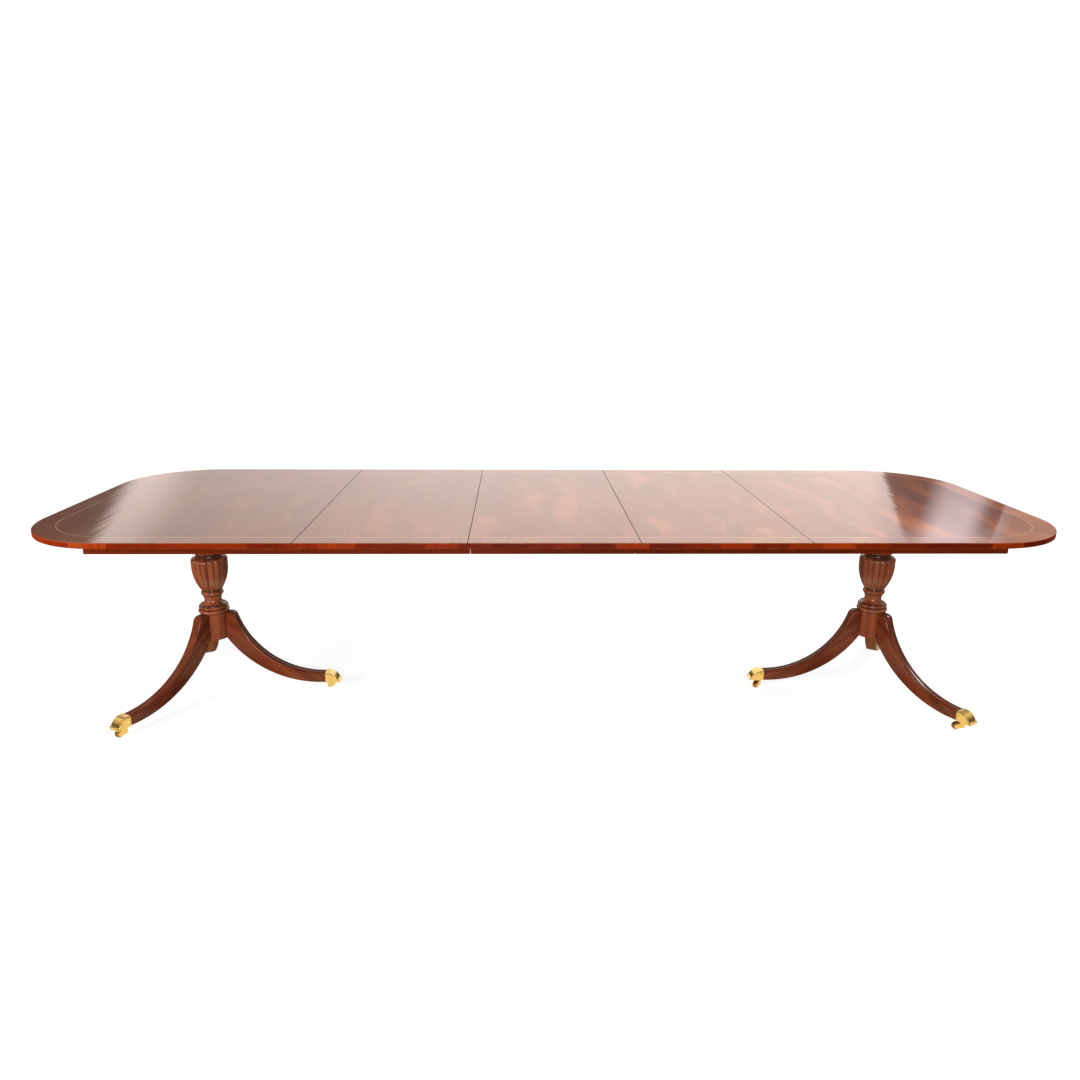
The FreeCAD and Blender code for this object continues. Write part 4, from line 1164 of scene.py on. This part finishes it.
@dataclass
class Studio:
    """A pale floor, soft lamps, a wall that the polished top mirrors, and the camera."""

    eye: Spot = (-0.1141, -2.9456, 1.3990)
    yaw: float = 0.0296
    pitch: float = 0.2694
    roll: float = 0.0078
    sensor: float = 36.0
    focal_pixels: float = 833.31
    frame_pixels: float = 1080.0
    # The room: even light, and what polish and brass mirror of it, low, high and on the floor.
    ambient: Colour = (0.55, 0.55, 0.55)
    backdrop: Colour = (1.0, 1.0, 1.0)
    room_low: Colour = (0.12, 0.095, 0.07)
    room_high: Colour = (1.0, 0.86, 0.62)
    room_rise: Pair = (0.2, 0.75)
    room_floor: Colour = (0.95, 0.78, 0.52)
    # Places beside the toes with the reach of the bright floor that they mirror, and where it fades.
    toes: tuple[Spot, ...] = ((1.39, -0.41, 0.15), (0.83, -0.1, 0.15), (0.83, 0.1, 0.15), (1.42, 0.33, 0.05))
    toe_fade: float = 0.08
    floor_colour: Colour = (0.6, 0.57, 0.54)
    floor_shadow: Colour = (0.36, 0.36, 0.36)
    floor_glow: float = 0.82
    floor_reach: float = 30.0
    # The mirrored wall: its tones along X, its leaning left end, its window and its two dark doorways.
    wall: Stops = ((-2.4, (0.53, 0.465, 0.43)), (-0.6, (0.80, 0.71, 0.66)), (1.9, (0.86, 0.755, 0.695)),
                   (2.5, (0.90, 0.80, 0.745)), (3.0, (0.61, 0.57, 0.60)), (3.35, (0.61, 0.57, 0.60)),
                   (3.6, (0.26, 0.215, 0.19)))
    wall_span: float = 8.0
    wall_glow: float = 1.5
    wall_reach: float = 8.0
    wall_back: float = 3.0
    wall_heights: Pair = (0.95, 5.0)
    end_lean: float = 0.682
    end_dark: Step = (-2.1, -1.93, 0.04, 1.0)
    end_bright: Step = (-1.93, -1.5, 1.75, 1.0)
    window_left: Pair = (2.8, 3.05)
    window_right: Pair = (3.3, 3.55)
    window_rise: Step = (1.3, 1.7, -0.25, 0.5)
    # Each doorway's two jambs: their slant, their place and how soft they are.
    doorways: tuple[tuple[Spot, Spot], ...] = (((-0.45, 2.03, 0.02), (0.2, 3.27, 0.11)),
                                               ((0.3, 3.80, 0.1), (0.25, 3.885, 0.015)))
    doorway_dark: Step = (1.56, 1.74, 0.96, 0.45)
    lamps: tuple[Lamp, ...] = (
        Lamp("key_softbox", (-4.0, -3.4, 1.9), (0.2, 0.0, 0.45), (2.0, 1.6), 168.0),
        Lamp("fill_softbox", (2.8, -3.8, 2.2), (0.4, 0.0, 0.4), (1.8, 1.4), 14.0),
        Lamp("overhead_softbox", (1.0, -0.5, 2.9), (0.7, -0.1, 0.7), (2.4, 1.6), 38.0),
        Lamp("camera_lamp", (-0.35, -3.4, 1.4), (0.0, 0.0, 0.4), (0.45, 0.3), 20.0),
        Lamp("right_window", (3.1, 0.5, 1.8), (1.4, -0.1, 0.6), (1.3, 1.3), 18.0),
        Lamp("left_card", (-3.2, -2.2, 0.45), (-1.2, 0.0, 0.4), (0.4, 0.5), 12.0, Light.MIRRORED),
        Lamp("front_card", (-0.2, -3.4, 0.42), (0.0, 0.0, 0.4), (1.6, 0.52), 40.0, Light.MIRRORED))
    glint: Lamp = Lamp("leg_glint", (3.1, 0.5, 1.8), (1.4, -0.1, 0.3), (0.5, 1.1), 26.0, Light.MIRRORED)

    def camera(self) -> None:
        """Set the camera where the photograph was taken."""
        ahead = Vector((math.sin(self.yaw) * math.cos(self.pitch), math.cos(self.yaw) * math.cos(self.pitch),
                        -math.sin(self.pitch)))
        level = Vector((math.cos(self.yaw), -math.sin(self.yaw), 0.0))
        rise = level.cross(ahead)
        right = level * math.cos(self.roll) + rise * math.sin(self.roll)
        up = rise * math.cos(self.roll) - level * math.sin(self.roll)
        data = bpy.data.cameras.new("camera")
        data.sensor_width = self.sensor
        data.lens = self.sensor * self.focal_pixels / self.frame_pixels
        camera = link(bpy.data.objects.new("camera", data))
        turn = Matrix((right, up, -ahead)).transposed().to_4x4()
        camera.matrix_world = Matrix.Translation(self.eye) @ turn
        bpy.context.scene.camera = camera

    def world(self) -> None:
        """Light the room evenly, with a white backdrop that only the camera sees."""
        world = bpy.data.worlds.new("white_studio")
        board = NodeBoard.fresh(world)
        path = board.add("ShaderNodeLightPath")
        _, _, rise = board.split(board.add("ShaderNodeTexCoord").outputs["Generated"])
        mirrored = board.mix(board.step(rise, *self.room_rise), self.room_low, self.room_high)
        colour = board.mix(path.outputs["Is Glossy Ray"], self.ambient, mirrored)
        colour = board.mix(path.outputs["Is Camera Ray"], colour, self.backdrop)
        board.surface(board.add("ShaderNodeBackground", {"Color": colour}), "ShaderNodeOutputWorld")
        bpy.context.scene.world = world

    def near_toes(self, board: NodeBoard) -> Socket:
        """Give how near a place on the floor is to a toe, the same on both halves.

        Args:
            board: The board that gets the nodes.

        Returns:
            The share's socket, 1 beside a toe and 0 away from all of them.
        """
        x, y, _ = board.split(board.place())
        folded = board.join(board.math("ABSOLUTE", x), y, 0.0)
        nearest = self.toe_fade
        for toe_x, toe_y, reach in self.toes:
            gap = board.add("ShaderNodeVectorMath", {0: folded, 1: (toe_x, toe_y, 0.0)}, operation="DISTANCE")
            nearest = board.math("MINIMUM", board.minus(gap.outputs["Value"], reach), nearest)
        return board.step(nearest, 0.0, self.toe_fade, 1.0, 0.0)

    def floor(self) -> None:
        """Lay a pale floor that keeps a faint shadow, and that is see-through from below."""
        material = bpy.data.materials.new("pale_floor")
        board = NodeBoard.fresh(material)
        path = board.add("ShaderNodeLightPath")
        plain, faint = (board.add("ShaderNodeBsdfDiffuse", {"Color": (*colour, 1.0)})
                        for colour in (self.floor_colour, self.floor_shadow))
        glow = board.add("ShaderNodeEmission", {"Strength": self.floor_glow})
        pale = board.add("ShaderNodeAddShader", {0: faint.outputs[0], 1: glow.outputs[0]})
        tint = board.mix(self.near_toes(board), self.room_low, self.room_floor)
        mirrored = board.add("ShaderNodeEmission", {"Color": tint})
        unseen = board.either(path.outputs["Is Glossy Ray"], plain, mirrored)
        above = board.either(path.outputs["Is Camera Ray"], unseen, pale)
        below = board.add("ShaderNodeNewGeometry").outputs["Backfacing"]
        board.surface(board.either(below, above, board.add("ShaderNodeBsdfTransparent")))
        far = self.floor_reach
        self.card("studio_floor", [(-far, -far, 0), (far, -far, 0), (far, far, 0), (-far, far, 0)], material)

    def card(self, name: str, corners: list[Spot], material: Material) -> bpy.types.Object:
        """Make a flat card of the set.

        Args:
            name: Its name.
            corners: Its four corners.
            material: Its finish.

        Returns:
            The card.
        """
        mesh = bpy.data.meshes.new(name)
        mesh.from_pydata(corners, [], [(0, 1, 2, 3)])
        mesh.materials.append(material)
        card = link(bpy.data.objects.new(name, mesh))
        return card

    def mirrored_wall(self) -> None:
        """Stand a bright wall with dark doorways behind the table, which only the polish mirrors."""
        material = bpy.data.materials.new("mirrored_wall")
        board = NodeBoard.fresh(material)
        x, _, z = board.split(board.place())
        level = board.ramp(board.plus(board.math("DIVIDE", x, self.wall_span), 0.5),
                           tuple((spot / self.wall_span + 0.5, colour) for spot, colour in self.wall))
        lean = board.plus(x, board.times(z, self.end_lean))
        shade = board.times(board.step(lean, *self.end_dark), board.step(lean, *self.end_bright))
        window = board.times(board.step(x, *self.window_left), board.step(x, *self.window_right, 1.0, 0.0))
        shade = board.times(shade, board.plus(1.0, board.times(window, board.step(z, *self.window_rise))))
        for jambs in self.doorways:
            opened = board.step(z, *self.doorway_dark)
            for (slant, spot, soft), ends in zip(jambs, ((0.0, 1.0), (1.0, 0.0))):
                place = board.plus(x, board.times(z, slant))
                opened = board.times(opened, board.step(place, spot - soft, spot + soft, *ends))
            shade = board.times(shade, board.minus(1.0, opened))
        tint = board.shade(level, shade)
        board.surface(board.add("ShaderNodeEmission", {"Color": tint, "Strength": self.wall_glow}))
        far, back, (foot, head) = self.wall_reach, self.wall_back, self.wall_heights
        corners = [(-far, back, foot), (far, back, foot), (far, back, head), (-far, back, head)]
        wall = self.card("mirrored_wall", corners, material)
        wall.visible_camera = wall.visible_diffuse = wall.visible_shadow = wall.visible_transmission = False

    def leg_glint(self) -> None:
        """Hang a narrow lamp that only the legs mirror, as a bright line along their backs."""
        legs = bpy.data.collections.new("polished_legs")
        for side in Side:
            for leg in Leg:
                legs.objects.link(bpy.data.objects[f"{side.word}_{leg.word}_sabre_leg"])
        self.glint.hang().light_linking.receiver_collection = legs

    def build(self) -> None:
        """Set the whole studio."""
        bpy.context.scene.view_settings.view_transform = "Standard"
        self.world()
        self.floor()
        self.mirrored_wall()
        for lamp in self.lamps:
            lamp.hang()
        self.leg_glint()
        self.camera()


def main() -> None:
    """Build the pieces in order, then the studio."""
    logging.basicConfig(level=logging.INFO, format="%(message)s")
    brass = Metal(Gloss(roughness=0.2, metal=1.0), (0.96, 0.74, 0.30), (0.86, 0.60, 0.20))
    # The sunk lines of the toe caps get a dark material that is painted shade.
    line_shade = Metal(Gloss(roughness=0.6, metal=0.4), (0.10, 0.05, 0.016), (0.05, 0.024, 0.01))
    wheel = Metal(Gloss(roughness=0.36, metal=1.0), (0.40, 0.21, 0.065), (0.17, 0.075, 0.03))
    cast, lines, dulled = (brass.material("cast_brass"), line_shade.material("dirt_in_lines"),
                           wheel.material("dulled_brass"))
    TableTop().build()
    Aprons().build()
    for side in Side:
        Pedestal(side).build(cast, lines, dulled)
        ToeScrews(side).build(cast)
    Understructure().build()
    Studio().build()


if __name__ == "__main__":
    main()
